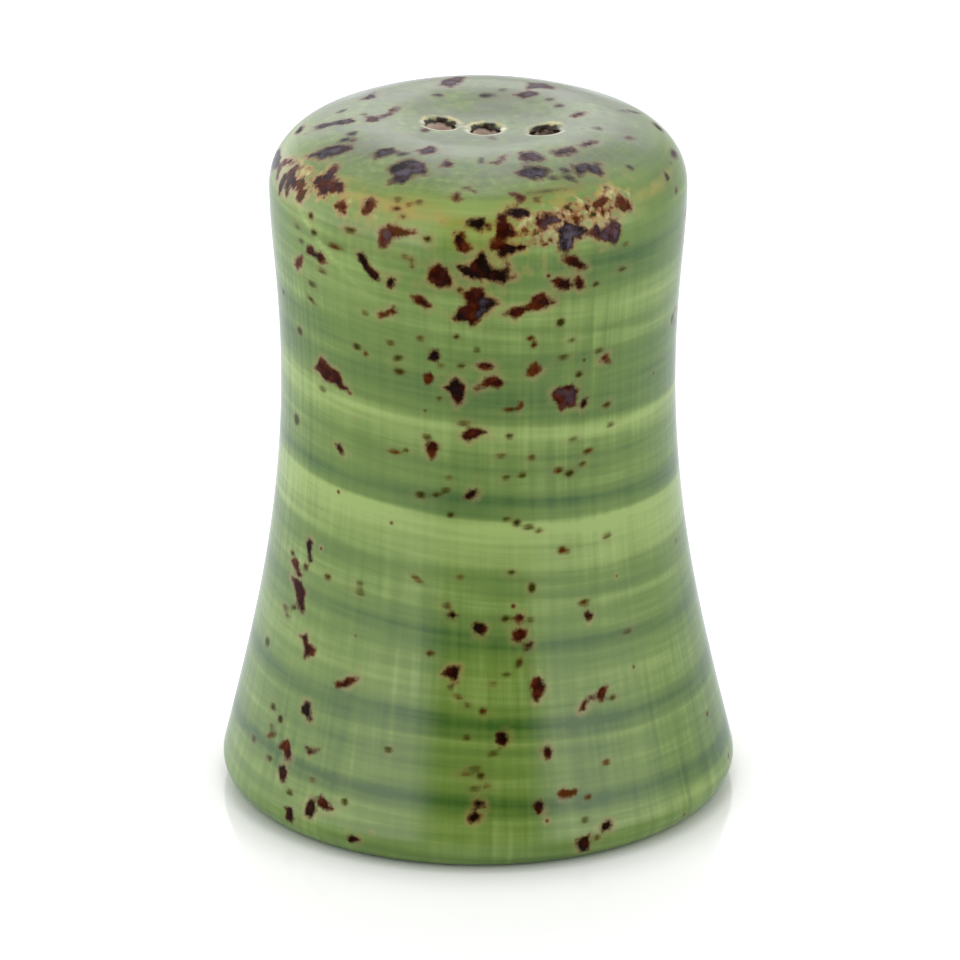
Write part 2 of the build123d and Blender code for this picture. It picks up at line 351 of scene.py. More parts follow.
# Shards on the side, from the shoulder down and from the left to the right.
SIDE_CHIPS = [
    Chip(INK, ((-98, 67), (-92, 68.3), (-84, 68.4), (-80, 67.6), (-84, 66.9), (-90, 66.4)), bloom=0.6),
    Chip(RUST, ((-77.5, 66.6), (-81, 67.6), (-81, 68.4), (-77, 69.2), (-73, 69.5), (-73, 69),
                (-76.5, 68.5), (-78.5, 67.9), (-76, 66.9))),
    Chip(INK, ((-74, 67.9), (-70.5, 67.8), (-71, 66), (-72.5, 65.8), (-74, 66.6))),
    Chip(OXBLOOD, ((-71, 67.9), (-67.5, 67.8), (-65.5, 66.4), (-66.5, 66.2), (-69, 66.8))),
    Chip(OXBLOOD, ((-72, 68.3), (-70.5, 69.4), (-68.5, 69.3), (-67, 68.4), (-63.5, 68.4), (-64, 67.2),
                   (-67, 67.3), (-70.5, 67.4)), bloom=0.2),
    Chip(RUST, ((-64, 68.7), (-61, 68.5), (-57.8, 67.6), (-58, 66.6), (-60.5, 66.7), (-63, 67.4))),
    Chip(OXBLOOD, ((-56.3, 71.7), (-53.5, 71.5), (-51, 70.1), (-47, 70.1), (-43.2, 69), (-49.5, 68.8),
                   (-50, 68), (-58, 69), (-55.5, 70.2)), bloom=0.25),
    Chip(RUST, ((-35.6, 68.9), (-33.4, 69.4), (-31.3, 69), (-31.5, 68.2), (-32.9, 67.6), (-34.7, 68))),
    Chip(RUST, ((-44.3, 67.8), (-42, 68.4), (-40.2, 67.3), (-42.5, 67.2))),
    Chip(RUST, ((-28.1, 66.3), (-24.7, 67.1), (-17, 66.7), (-23.8, 65.9), (-26.1, 64.8), (-27.7, 64.7)),
         bloom=0.5),
    Chip(INK, ((-34.7, 63.6), (-32.5, 64), (-30.9, 62.6), (-27.9, 61.9), (-28.1, 61.1), (-30.2, 61.3),
               (-34.3, 62.8))),
    Chip(INK, ((-25.2, 61.9), (-23.1, 61.7), (-23.8, 60.7), (-25.4, 60.7))),
    Chip(OXBLOOD, ((-55, 61.8), (-54, 62.8), (-52, 62.8), (-49.7, 62.3), (-48.4, 62.7), (-46, 61.8),
                   (-48.4, 61.4), (-51.5, 61.8))),
    Chip(RUST, ((-62.2, 59.7), (-60.2, 60.6), (-56.5, 61.3), (-57.5, 60.2), (-60.2, 59.4))),
    Chip(OXBLOOD, ((-18.4, 60.2), (-15.6, 60.3), (-12.9, 59.3), (-14.7, 59), (-17.5, 59.6))),
    Chip(OXBLOOD, ((-13.5, 63.1), (-11.3, 63.8), (-8.5, 63.4), (-7.2, 62.4), (-7.6, 61.4), (-11.3, 61.3),
                   (-13.5, 62))),
    Chip(RUST, ((-29, 57.6), (-27, 58), (-23.8, 58.8), (-22.7, 58.1), (-26.1, 57.7), (-28.4, 57.3))),
    Chip(INK, ((-3.8, 68.1), (-1.3, 68.4), (1.5, 68.5), (2.1, 67.8), (0.5, 67.1), (-0.8, 67.4),
               (-3.1, 67.6))),
    Chip(OXBLOOD, ((-6.5, 66.9), (-4.2, 67), (-3.5, 66), (-1.5, 65.6), (-3.1, 65.1), (-5.4, 65.2),
                   (-6.3, 66.1))),
    Chip(OXBLOOD, ((5.5, 68.8), (7.6, 68.8), (8.7, 67.6), (10.8, 66.7), (7.8, 66.4), (6.5, 65.5),
                   (3.7, 65.3), (3.5, 65.9), (5.1, 66.8), (5.3, 67.8))),
    Chip(INK, ((5.5, 65.5), (8.7, 65.9), (13.3, 65.5), (10.5, 65.1), (7.8, 64.9), (6.5, 64.4),
               (5.1, 64.9))),
    Chip(INK, ((8, 69), (9.2, 69.6), (11.5, 69.3), (14.9, 69), (14.4, 68.5), (11.5, 68.3), (9.6, 68.5))),
    Chip(OXBLOOD, ((10.1, 71.3), (13.3, 71), (15.1, 70.5), (12.4, 69.8), (11.9, 70.6))),
    Chip(RUST, ((-9, 70.5), (-6.5, 71.4), (-5.6, 70.6), (-4.5, 70.7), (-6.3, 70.2))),
    Chip(OXBLOOD, ((-5.4, 72.1), (-3.1, 72.2), (-0.8, 71.5), (-2.6, 71.7))),
    Chip(INK, ((-6.3, 63.9), (-2.6, 63.6), (1, 65.2), (2.4, 64.4), (3.7, 63.4), (7.4, 63.1), (7.8, 63.8),
               (8.7, 63.4), (8.3, 62.8), (10.1, 62.5), (7.8, 62.3), (6.5, 61.7), (3.3, 62.3),
               (-1.7, 62.4), (-4.2, 62.8))),
    Chip(OXBLOOD, ((-7.2, 58), (-5.4, 59.2), (-3.1, 59.7), (-3.8, 61), (-1.3, 61.4), (1, 61.4),
                   (1.9, 60.5), (1.6, 59.2), (0.5, 58.1), (-2, 57.2), (-2.9, 57.8), (-5.4, 57.8))),
    Chip(INK, ((-1.5, 58.2), (-1.2, 60.0), (0.8, 61), (1.9, 60.5), (5.5, 59.9), (2.8, 58.9), (0.5, 58.1),
               (-1.6, 57.5)), bloom=0.45),
    Chip(OXBLOOD, ((6.9, 58.6), (10.1, 59.2), (14.2, 59.4), (15.1, 60.2), (17.8, 60.5), (19.6, 59.9),
                   (21.9, 59.4), (16.9, 58.8), (13.3, 58.8), (10.5, 58.1))),
    Chip(OXBLOOD, ((20.1, 61.7), (22.4, 61.9), (25.1, 61.7), (26.9, 60.9), (25.1, 60.4), (22.8, 60.6),
                   (21, 61.3))),
    Chip(OXBLOOD, ((27.1, 61.3), (28.3, 61.8), (29.6, 61.3), (30.8, 60.3), (28.3, 60.3), (27.4, 60.6))),
    Chip(OXBLOOD, ((23.3, 63.8), (26.9, 64), (28.7, 63.4), (31.5, 62.3), (28.3, 62.4), (25.1, 63))),
    Chip(OXBLOOD, ((16, 67.6), (17.4, 68.4), (22.4, 68.4), (23.7, 67.8), (21.9, 67.3), (17.8, 67.2)),
         bloom=0.6),
    Chip(INK, ((22.4, 66.8), (24.6, 67.4), (26.9, 67.3), (29.6, 66.8), (31.5, 66.1), (29.2, 65.7),
               (26.9, 65.7), (26, 64.7), (23.7, 64.4), (21.9, 64.9), (22.8, 66)), bloom=0.9),
    Chip(OXBLOOD, ((31.5, 66), (34.2, 66.8), (35.5, 66), (38.3, 66.3), (39.6, 66.9), (42.4, 66),
                   (41.9, 64.7), (40.1, 64), (37.4, 64.6), (34.2, 65.2)), bloom=0.75),
    Chip(RUST, ((42.6, 67.6), (44.2, 68.8), (45.5, 68.9), (46.5, 68.2), (48.3, 67.6), (47.4, 66.9),
                (45.1, 66.9))),
    Chip(RUST, ((35, 68.5), (37, 69.1), (40, 68.8), (39.8, 68.2), (37.5, 68.2), (35.5, 68))),
    Chip(OXBLOOD, ((-55, 49.6), (-52.3, 50.6), (-51.8, 51.1), (-49.5, 51), (-48.6, 50.6), (-43.6, 50.3),
                   (-42.7, 49.4), (-39.1, 48.4), (-43.2, 48.6), (-45.9, 48.9), (-50.5, 48.8),
                   (-51.8, 49.4))),
    Chip(INK, ((-14.3, 53.5), (-13.6, 54.5), (-11.4, 54.7), (-10.5, 54), (-11.4, 53.5), (-13.2, 53.4))),
    Chip(OXBLOOD, ((-15.5, 51.8), (-14.1, 52.2), (-12.7, 51.8), (-13.4, 51), (-15.2, 51))),
    Chip(INK, ((-10, 50.7), (-8.2, 51.1), (-7, 51.8), (-5.7, 51.7), (-4, 51), (-3.9, 50.2), (-4.4, 49.4),
               (-6.2, 49), (-7.1, 49.7), (-8.6, 50.4))),
    Chip(OXBLOOD, ((-15.2, 44.7), (-13.2, 45.1), (-11.4, 44.7), (-12, 43.9), (-13.4, 43.1), (-14.8, 43.9))),
    Chip(OXBLOOD, ((-0.5, 53.1), (2, 53.6), (4.7, 53), (3.4, 52.7), (1.1, 52.8))),
    Chip(OXBLOOD, ((1.3, 51.1), (2.2, 51.9), (5.2, 51.9), (7.9, 51.3), (5.6, 50.7), (3.4, 51),
                   (-1.2, 50.5), (-0.6, 50.9))),
    Chip(RUST, ((13.6, 51.9), (14.7, 52.8), (16.1, 53.2), (17.9, 52.6), (18.1, 52.1), (15.6, 51.7))),
    Chip(OXBLOOD, ((21.1, 49.7), (23.4, 50.2), (27.9, 50.3), (28.8, 49.7), (30.6, 49.6), (29, 48.9),
                   (28.8, 47.8), (26.1, 48), (24.3, 47.7), (23.4, 48.4), (22, 49)), bloom=0.35),
    Chip(INK, ((30.4, 47.8), (31.5, 48.5), (32.9, 48.5), (32.5, 47.7), (31.3, 47.5))),
    Chip(RUST, ((10.6, 48.2), (11.5, 49), (12.7, 49), (12, 48.4), (11.3, 48.1))),
    Chip(RUST, ((36.5, 52.1), (38.4, 52.7), (39.7, 52.6), (40, 52.1), (41.1, 51.5), (38.4, 51.8))),
    Chip(OXBLOOD, ((-4.4, 46), (-2.1, 46.6), (1.1, 46.4), (2.7, 46.1), (0.2, 45.6), (-3, 45.2),
                   (-5.3, 45.5))),
    Chip(INK, ((-4.1, 39.4), (-2.3, 40.1), (-0.7, 40.3), (0.2, 39.9), (-1.2, 39.4), (-3, 39.2))),
    Chip(INK, ((-45.7, 42.6), (-43.6, 42.7), (-41.8, 41.9), (-42.7, 41.7), (-44.5, 42.1))),
    Chip(INK, ((-56.5, 31.1), (-55, 31.8), (-53.1, 31.5), (-53.8, 30.6), (-52.5, 29.7), (-54, 29.4),
               (-55.2, 30.3))),
    Chip(OXBLOOD, ((-62.9, 28.4), (-62, 28.9), (-59.3, 29.1), (-58.4, 28.2), (-56.5, 27.7),
                   (-58.4, 27.4), (-61.1, 28.1))),
    Chip(OXBLOOD, ((-62, 27), (-58.4, 27.2), (-56.5, 27), (-54, 26.4), (-54.3, 25.6), (-53.4, 24.3),
                   (-54.7, 24), (-57, 24.8), (-58.8, 25.8))),
    Chip(OXBLOOD, ((-54.7, 21.9), (-52.5, 22), (-50.9, 22.4), (-50.2, 21.5), (-47, 21.2), (-47.2, 20.7),
                   (-49.3, 20.3), (-50.4, 19.8), (-51.3, 19.9), (-51.1, 20.7), (-52.5, 21.5))),
    Chip(OXBLOOD, ((-39.3, 18.6), (-37, 19), (-35.6, 19.5), (-31.8, 19.7), (-33.8, 19.1), (-35.6, 18.5),
                   (-38.4, 18.2))),
    Chip(INK, ((-49, 15.1), (-47.9, 15.8), (-46.1, 15.8), (-45.6, 15.1), (-44.5, 14.3), (-45.9, 13.9),
               (-47.2, 14.5), (-48.4, 14.5))),
    Chip(OXBLOOD, ((-45.6, 11.6), (-42.9, 11.6), (-40.4, 11.8), (-41.1, 11.5), (-43.8, 10.8),
                   (-45, 11.1))),
    Chip(OXBLOOD, ((-54.7, 10.2), (-52.7, 11.2), (-51.5, 11.4), (-49.7, 10.4), (-49.7, 9.5),
                   (-51.1, 9.4), (-52.5, 10.1))),
    Chip(INK, ((-53.4, 8.3), (-51.5, 8.8), (-50, 8.2), (-50.2, 7), (-51.3, 6.9), (-52.5, 7.7))),
    Chip(OXBLOOD, ((-39.3, 6.9), (-37.9, 7.3), (-35.6, 6.6), (-34.7, 6.2), (-37, 5.9), (-38.8, 6.2))),
    Chip(INK, ((-42.5, 5.7), (-41.1, 6.9), (-40, 6.5), (-39.5, 5.4), (-40.6, 4.7), (-42.2, 4.8))),
    Chip(INK, ((-48.6, 4.8), (-46.1, 5), (-45.6, 4), (-46.8, 3.3), (-48.4, 3.6), (-47.9, 4.3))),
    Chip(INK, ((-30.4, 3.7), (-29.5, 4.3), (-27.2, 3.9), (-28.4, 3.5), (-29.7, 3.3))),
    Chip(INK, ((-9.1, 27.4), (-6.8, 27.7), (-5.5, 27.4), (-6.4, 26.9), (-8.2, 27.1))),
    Chip(INK, ((-1.8, 26.4), (-0.5, 26.7), (1.4, 26.5), (2.3, 26), (0.9, 25.4), (-0.9, 25.6))),
    Chip(OXBLOOD, ((9.8, 27), (10.9, 27.4), (12.5, 27.1), (12, 26.5), (10.5, 26.5))),
    Chip(OXBLOOD, ((9.1, 24.9), (9.1, 25.6), (10.9, 26), (13, 25.6), (12.7, 24.9), (10.9, 24.5))),
    Chip(INK, ((12, 24.1), (13.2, 24.4), (14.8, 24.4), (13.9, 23.8), (12.5, 23.7))),
    Chip(INK, ((29.3, 26.4), (30.5, 26.8), (32.3, 26.2), (32, 25.8), (30.5, 25.7))),
    Chip(INK, ((-9.3, 21.4), (-7.3, 22.2), (-4.5, 22.2), (-5.2, 21.4), (-5.2, 20.7), (-6.4, 20.8),
               (-7, 21.1))),
    Chip(OXBLOOD, ((13.6, 20.4), (15, 21), (16.8, 20.6), (17.3, 19.7), (15.9, 19), (15, 18.4),
                   (13.9, 18.6), (13.6, 19.7))),
    Chip(OXBLOOD, ((25.5, 16.8), (26.1, 17.3), (28.4, 18.2), (30.5, 18.2), (32.7, 18.8), (34.5, 18.7),
                   (33.6, 18.1), (33.2, 17.4), (32, 17.5), (30.9, 17.9), (28.2, 17.7), (27.5, 17))),
    Chip(INK, ((4.3, 15.7), (5.9, 15.8), (7.3, 15.4), (7, 14.5), (5.5, 14.3), (4.5, 14.7))),
    Chip(OXBLOOD, ((15.5, 13.7), (16.8, 14.1), (18.1, 13.5), (17.7, 12.8), (16.4, 12.6), (15.9, 13.1))),
    Chip(INK, ((-1.1, 8.6), (-0.2, 9.1), (1.1, 8.7), (1.7, 8.3), (-0.5, 8.1))),
    Chip(INK, ((-2.4, 7.3), (-1.4, 8.1), (0, 7.7), (1.1, 7.4), (-0.5, 6.8), (-1.8, 6.8))),
    Chip(INK, ((12.7, 8.3), (14.3, 8.7), (15.4, 8.1), (14.3, 7.4), (13.4, 7.4))),
    Chip(RUST, ((18.4, 9.1), (20, 9.5), (21.8, 9.3), (24.1, 9.3), (22.7, 8.7), (20.5, 8.5),
                (19.1, 8.7))),
    Chip(INK, ((22, 4.3), (24.8, 4.5), (25.9, 4.8), (25, 4.1), (25.2, 3.3), (25.5, 2.6), (23.6, 2.6),
               (22.7, 3.2))),
    Chip(INK, ((28, 5), (29.1, 5.6), (30.9, 5.6), (31.1, 4.8), (29.5, 4.6), (28.4, 4.8))),
]

# Shards on the top, from the back to the front.
TOP_CHIPS = [
    Chip(OXBLOOD, ((-3.8, 18.6), (-3, 19.3), (-1.5, 18.8), (-1.3, 18.2), (-2.5, 18.1))),
    Chip(OXBLOOD, ((4.8, 19), (6, 19), (7.8, 18), (7, 17.6), (5.2, 18.4))),
    Chip(INK, ((-11.5, 16), (-10.2, 17), (-10.4, 16.1))),
    Chip(OXBLOOD, ((-3.9, 9.2), (-3.4, 11.2), (-2.2, 12.6), (-1.2, 12.2), (-1.6, 10.2), (-2.6, 8.7))),
    Chip(OXBLOOD, ((4.9, 10.3), (6.5, 10.4), (7.6, 9.2), (7.3, 8.1), (6, 8.3), (4.8, 8.2))),
    Chip(OXBLOOD, ((3.6, 6.8), (5, 7.8), (5.9, 7), (5.8, 6.2), (4.2, 5.9))),
    Chip(INK, ((-11.6, 6), (-11, 7.3), (-10.2, 8.3), (-10.1, 6), (-10.8, 5.5))),
    Chip(INK, ((-16, 0.9), (-15.3, 1.2), (-14.5, 0.6), (-12.3, 0.3), (-12, -0.6), (-12.6, -1.2),
               (-14, -0.6), (-16, -0.2))),
    Chip(OXBLOOD, ((-11, 0.2), (-9.5, 0), (-8.5, 2.2), (-7.8, 3.2), (-7.6, 3), (-8.3, 1.2), (-9, 0),
                   (-10, -1.4), (-11, -1.3))),
    Chip(OXBLOOD, ((9, 0), (9.7, 1.5), (10.5, 1.6), (10.4, 0.5), (9.5, -0.2))),
    Chip(INK, ((-16.8, -5.6), (-14.6, -5.4), (-13.2, -5.9), (-12.3, -6.6), (-12.2, -7.3), (-14, -7.6),
               (-15.4, -7.2), (-16.2, -6.3))),
    Chip(INK, ((-10.3, -9.2), (-9.6, -8.6), (-8.4, -8.5), (-7.8, -9.4), (-8.4, -9.9), (-9.8, -10.1))),
    Chip(INK, ((-7.8, -11.3), (-6.8, -10.9), (-6, -11.4), (-5.3, -12.2), (-4.9, -13.9), (-6.2, -13.7),
               (-7.2, -14.8), (-8.7, -14.4), (-8.2, -13.5), (-8.7, -12.2))),
    Chip(OXBLOOD, ((-5.9, -9.6), (-5.1, -8.7), (-4.4, -8.3), (-3.9, -9.2), (-4.1, -10.3), (-5.5, -10.3))),
    Chip(OXBLOOD, ((-3.6, -12.9), (-3.1, -11.6), (-2.4, -12.5), (-2.8, -13))),
    Chip(OXBLOOD, ((3.9, -11.2), (4.2, -10), (5.2, -9.7), (6.2, -10.5), (6.5, -11.3), (5.3, -11.9),
                   (4.3, -11.8))),
    Chip(INK, ((3.7, -13.9), (4.3, -12.7), (6.2, -12.5), (7, -13), (6.5, -14), (5.5, -14.5),
               (3.9, -14.3))),
    Chip(OXBLOOD, ((6.8, -9.9), (8, -8.6), (9.2, -8), (9.6, -8.7), (8.6, -9.9), (7.8, -10.2))),
    Chip(OXBLOOD, ((9.7, -7.6), (10.4, -6.6), (11.6, -5.9), (11.3, -6.6), (10.3, -7.7))),
    Chip(INK, ((9.1, -11.8), (10, -10.9), (11.7, -10.2), (12, -11.6), (11.8, -12.1), (10.5, -11.9),
               (9.7, -12.9), (9.3, -12.4))),
    Chip(OXBLOOD, ((1, -12.5), (1.8, -11.9), (2.6, -10.7), (2.5, -11.6), (1.8, -12.6))),
]

# Small specks on the side: the values of a Speck in order, of which the last two may be left out.
SIDE_SPECKS = {
    OXBLOOD: [
        (2.8, 67.6, 0.6, 0.6), (33.3, 68.4, 0.6, 0.5), (37.9, 67.6, 0.7, 0.5), (-4.8, 61.2, 0.5, 0.4),
        (-4.2, 47, 0.9, 0.4), (8.9, 48.4, 0.9, 0.4), (-58.4, 24.2, 0.9, 0.4, 25),
        (-8.5, 28.3, 0.7, 0.4),
    ],
    RUST: [
        (-42.5, 63.7, 1.5, 0.5), (-18.5, 64.1, 0.4, 0.35), (-20.3, 64.2, 0.4, 0.35),
        (-18.2, 63.3, 0.4, 0.4), (-24.3, 68.8, 0.6, 0.4), (-18, 69.8, 0.5, 0.35),
        (-20.9, 69.4, 0.4, 0.3), (-22, 68.2, 0.4, 0.3), (28, 67.6, 1.2, 0.7), (12.8, 66.9, 0.6, 0.35),
        (18.5, 65.7, 0.9, 0.4), (14.6, 55.8, 0.7, 0.5), (15.7, 55.1, 0.6, 0.7),
        (-33.5, 53.1, 0.5, 0.5, 0, 0.7), (-24.6, 43.4, 1.0, 0.4), (-8.5, 41.3, 0.5, 0.35, 0, 0.6),
        (-10.5, 53, 0.6, 0.4, 0, 0.5), (33.2, 42.9, 1.0, 0.5, 0, 0.8), (-58.3, 10.9, 1.4, 0.5, 25),
        (29.8, 27.6, 1.0, 0.5), (-5.1, 19.2, 0.7, 0.4, -20), (-3, 11.6, 0.7, 0.3),
        (1.9, 10.4, 0.5, 0.3), (25.9, 8.3, 0.6, 0.5), (27.2, 4.1, 0.7, 0.5), (31.7, 11.3, 0.8, 0.5),
        (23.9, 33.3, 0.8, 0.7), (25.5, 33.1, 0.5, 0.4), (-5, 31.2, 0.6, 0.5, 0, 0.5),
        (-17, 30.7, 1.0, 0.4, -30), (3.8, 20.5, 0.5, 0.35, 0, 0.6),
    ],
    OLIVE: [
        (-52.5, 65.9, 0.7, 0.6), (-37.3, 65.8, 1.0, 0.5), (-51, 64.3, 0.9, 0.6),
        (-58.7, 64.1, 0.8, 0.4, 0, 0.6), (-57, 62.8, 0.8, 0.4, 0, 0.6), (-48, 60.6, 0.9, 0.4),
        (-53, 58.7, 1.0, 0.5), (-54, 56.9, 1.2, 0.5, -20), (-33, 57.5, 0.6, 0.4, 0, 0.7),
        (-16.3, 55.7, 0.7, 0.6, 0, 0.6), (-25.3, 54.8, 0.7, 0.5, 0, 0.8), (-14, 66.2, 0.6, 0.5),
        (-25, 69.8, 0.6, 0.5), (33.5, 67.6, 0.5, 0.6), (27, 68.8, 0.6, 0.4), (18, 70.2, 0.6, 0.4),
        (42.2, 69.8, 0.5, 0.5), (23, 71, 1.6, 0.25, -6, 0.7), (15.8, 66.5, 0.6, 0.35),
        (34, 60.5, 0.6, 0.4), (43, 61.3, 0.8, 0.35, -10), (44, 63.8, 0.6, 0.35), (23.4, 57.1, 0.8, 0.8),
        (-6, 56.2, 0.5, 0.45), (-0.3, 54.8, 0.5, 0.45), (27, 55, 0.6, 0.35, 0, 0.6),
        (-51, 47.8, 0.8, 0.4), (-62, 52.7, 1.1, 0.8, 0, 0.7), (-66, 42.9, 1.2, 1.1, 0, 0.7),
        (-36.5, 53.6, 0.8, 0.6), (-23.2, 53.3, 0.9, 0.5, 25), (-22.8, 51.9, 1.0, 0.6),
        (-14.8, 45.4, 0.8, 0.5), (-21.2, 43.7, 0.5, 0.4), (-16.6, 39.3, 0.9, 0.6),
        (-12, 39.5, 0.7, 0.4), (-9.2, 40, 0.7, 0.45), (-11, 49.5, 0.5, 0.4, 0, 0.6),
        (36.3, 53.2, 0.7, 0.4), (6.5, 43.6, 0.7, 0.4), (8.9, 45.6, 0.6, 0.5),
        (8, 41.3, 0.6, 0.4, 0, 0.7), (12.6, 41.5, 0.7, 0.5, 0, 0.8), (15.4, 43.2, 0.6, 0.5),
        (23.5, 41.5, 0.9, 0.6), (27, 41, 0.9, 0.6), (31.2, 41.7, 0.7, 0.4), (41.3, 45, 0.7, 0.35),
        (39.8, 47.2, 0.9, 0.5), (28.2, 44.5, 0.7, 0.4, 0, 0.5), (29.8, 51.2, 0.7, 0.6),
        (24.6, 53.3, 0.8, 0.4), (10.8, 36.6, 0.8, 0.6), (8, 37, 0.6, 0.4), (14.3, 36.1, 0.9, 0.5),
        (17.3, 35.6, 0.6, 0.4), (-7.8, 37.5, 0.6, 0.5), (-4.8, 53.1, 0.6, 0.4), (-55.3, 28.8, 0.8, 0.7),
        (-62.8, 29.3, 0.8, 0.5), (-45.7, 28.8, 0.8, 0.6), (-34.2, 29.2, 0.6, 0.4, 0, 0.7),
        (-33.8, 28.3, 0.8, 0.4, 0, 0.7), (-62.8, 23.6, 0.9, 0.5, 0, 0.8), (-61, 23, 0.8, 0.4, 0, 0.6),
        (-69.7, 19, 1.1, 0.9, 0, 0.7), (-60, 13.6, 0.9, 0.6), (-56, 12.9, 0.8, 0.8),
        (-59, 11.7, 0.7, 0.4), (-66, 9.3, 0.8, 0.5), (-57.2, 8.6, 0.8, 0.45), (-48, 6.4, 0.8, 0.5),
        (-41.7, 8.5, 0.7, 0.4, 0, 0.7), (-31.9, 7.3, 0.7, 0.6), (-22, 13.3, 0.7, 0.45),
        (7.3, 27, 0.7, 0.6), (14, 26.7, 0.5, 0.4), (14.8, 29.9, 0.7, 0.9), (10.7, 22.5, 0.6, 0.9, -20),
        (-7.1, 20.1, 0.5, 0.4), (-2.6, 18.4, 0.5, 0.4), (1.2, 17.8, 0.7, 0.7), (-12.6, 23.4, 0.7, 0.5),
        (35.6, 17.5, 0.7, 0.5, 0, 0.7), (3.6, 13.6, 0.8, 0.4, 15), (-2.8, 15.2, 0.6, 0.5),
        (-0.6, 12.1, 0.9, 0.4), (0.6, 11.4, 0.7, 0.6), (-0.9, 10.1, 0.8, 0.35), (38.8, 33.7, 0.9, 0.4),
        (9.2, 31.6, 0.6, 0.4), (7.3, 21.4, 0.6, 0.35, 0, 0.7), (24.6, 6.1, 0.6, 0.4),
        (43, 23.5, 0.9, 0.35, 0, 0.7),
    ],
}

# Small specks on the top.
TOP_SPECKS = {
    INK: [
        (-12.2, -3.9, 1.1, 0.9), (-13.1, -5, 1.2, 0.8), (-7.2, -10, 0.9, 0.6), (-4, 6.6, 0.8, 0.7),
        (-13.4, 3.3, 0.9, 1.0, 0, 0.7), (8.3, -12.5, 0.8, 0.6), (7.2, -13.9, 0.9, 0.5),
        (8.8, -13.6, 1.1, 0.5, -15), (0.3, -12, 0.5, 0.7), (0.9, 6.9, 1.3, 0.8),
        (15.1, 5.2, 2.6, 0.7, 50, 0.7), (18.4, -6.8, 0.6, 0.8), (17.6, 10, 0.7, 2.2, 30, 0.8),
    ],
    OXBLOOD: [
        (-5.2, -2.6, 0.7, 2.0, -15, 0.8), (1.3, -4.7, 0.9, 1.6, 15, 0.6), (7, 5.2, 0.6, 0.9, 0, 0.8),
        (7.9, 3.4, 0.7, 1.0, 0, 0.9), (17.6, 3.2, 0.8, 1.8, 20, 0.9), (19.1, -1.5, 0.6, 2.0, -10),
    ],
    RUST: [
        (-12.2, -5.5, 0.8, 0.6), (-11.2, 1, 0.6, 0.6, 0, 0.8), (14.6, -3.4, 1.2, 0.6, 40, 0.6),
    ],
    OLIVE: [
        (11.6, -2.8, 0.9, 0.9, 0, 0.6), (14.7, -9.2, 0.7, 0.6, 0, 0.8), (2.4, 8, 0.8, 0.6, 0, 0.6),
    ],
}

# Lightness of the brushed glaze up the side: (height at the front, 0 dark to 1 light).
BANDS = [
    (0.0, 0.4), (2.4, 0.5), (4.6, 0.56), (5.8, 0.54), (6.6, 0.18), (7.4, 0.02), (7.9, 0.12),
    (8.6, 0.42), (10.2, 0.5), (12.2, 0.4), (13.5, 0.55), (14.3, 0.22), (15.3, 0.04), (15.9, 0.2),
    (16.6, 0.4), (18.8, 0.6), (20.4, 0.5), (22.4, 0.34), (23.6, 0.14), (24.3, 0.26), (25.3, 0.42),
    (27.4, 0.58), (28.5, 0.42), (30.6, 0.5), (31.3, 0.76), (33.0, 0.84), (34.6, 1.0), (35.6, 0.9),
    (36.1, 0.45), (37.4, 0.14), (38.4, 0.32), (39.4, 0.48), (40.6, 0.42), (43.0, 0.52),
    (44.0, 0.72), (45.3, 0.84), (45.8, 0.5), (46.6, 0.3), (47.8, 0.14), (49.4, 0.2), (50.8, 0.4),
    (52.4, 0.3), (53.4, 0.44), (54.6, 0.62), (55.8, 0.54), (57.6, 0.66), (59.0, 0.5), (60.2, 0.36),
    (62.0, 0.3), (63.4, 0.4), (64.4, 0.5), (66.0, 0.56), (68.5, 0.5), (71.0, 0.44), (76.0, 0.42),
]


@dataclass(frozen=True)
class Wash:
    """A soft patch where the brush left more or less glaze, and one at the right edge that is painted
    shade; amount adds to the lightness.
    """

    place: tuple[float, float]
    width: float
    height: float
    lean: float
    amount: float


WASHES = [
    Wash((-8, 68.5), 24, 8.0, 0, 0.22),
    Wash((-52, 63.6), 14, 4.0, -8, 0.3),
    Wash((-53, 64.7), 12, 0.5, -35, 0.35),
    Wash((-30, 62.6), 8, 3.0, 0, 0.2),
    Wash((48, 62.6), 12, 4.0, 3, -0.25),
    Wash((52, 50.5), 13, 6.0, 4, -0.05),
    Wash((-46, 49.0), 20, 5.0, -4, 0.28),
    Wash((40, 50.0), 12, 5.0, 4, 0.15),
    Wash((-9, 37.0), 8, 4.0, 0, -0.15),
    Wash((18, 37.0), 11, 4.0, 3, 0.1),
    Wash((-50, 27.0), 24, 12.0, 0, 0.09),
    # painted shade: the right side darker low down, standing in for weaker reflection there
    Wash((70, 18.0), 12, 24.0, 0, -0.1),
    Wash((59, 18.0), 11, 30.0, 0, 0.09),
    Wash((72, 69.0), 10, 8.0, 0, -0.25),
    Wash((45, 56.5), 11, 4.5, 2, 0.14),
    Wash((-50, 52.5), 8, 3.0, 0, 0.14),
    Wash((-52, 18.5), 8, 4.0, 0, 0.1),
    Wash((30, 15.0), 12, 5.0, 0, -0.1),
]

# Where the glaze thinned and broke along the shoulder, into yellow with rusty crumbs.
BREAKS = [
    Wash((-80, 69.3), 5.0, 2.6, 0, 0.45),
    Wash((-64, 69.0), 9, 5.0, -8, 0.9),
    Wash((-47, 68.6), 9, 4.0, -6, 0.7),
    Wash((-26, 67.6), 10, 3.0, -4, 0.4),
    Wash((15, 67.3), 8, 4.5, 0, 0.75),
    Wash((1, 62.5), 14, 8.0, 0, 0.4),
    Wash((31, 68.2), 9, 4.5, 3, 0.8),
    Wash((43, 68.6), 7, 4.0, 5, 0.7),
]

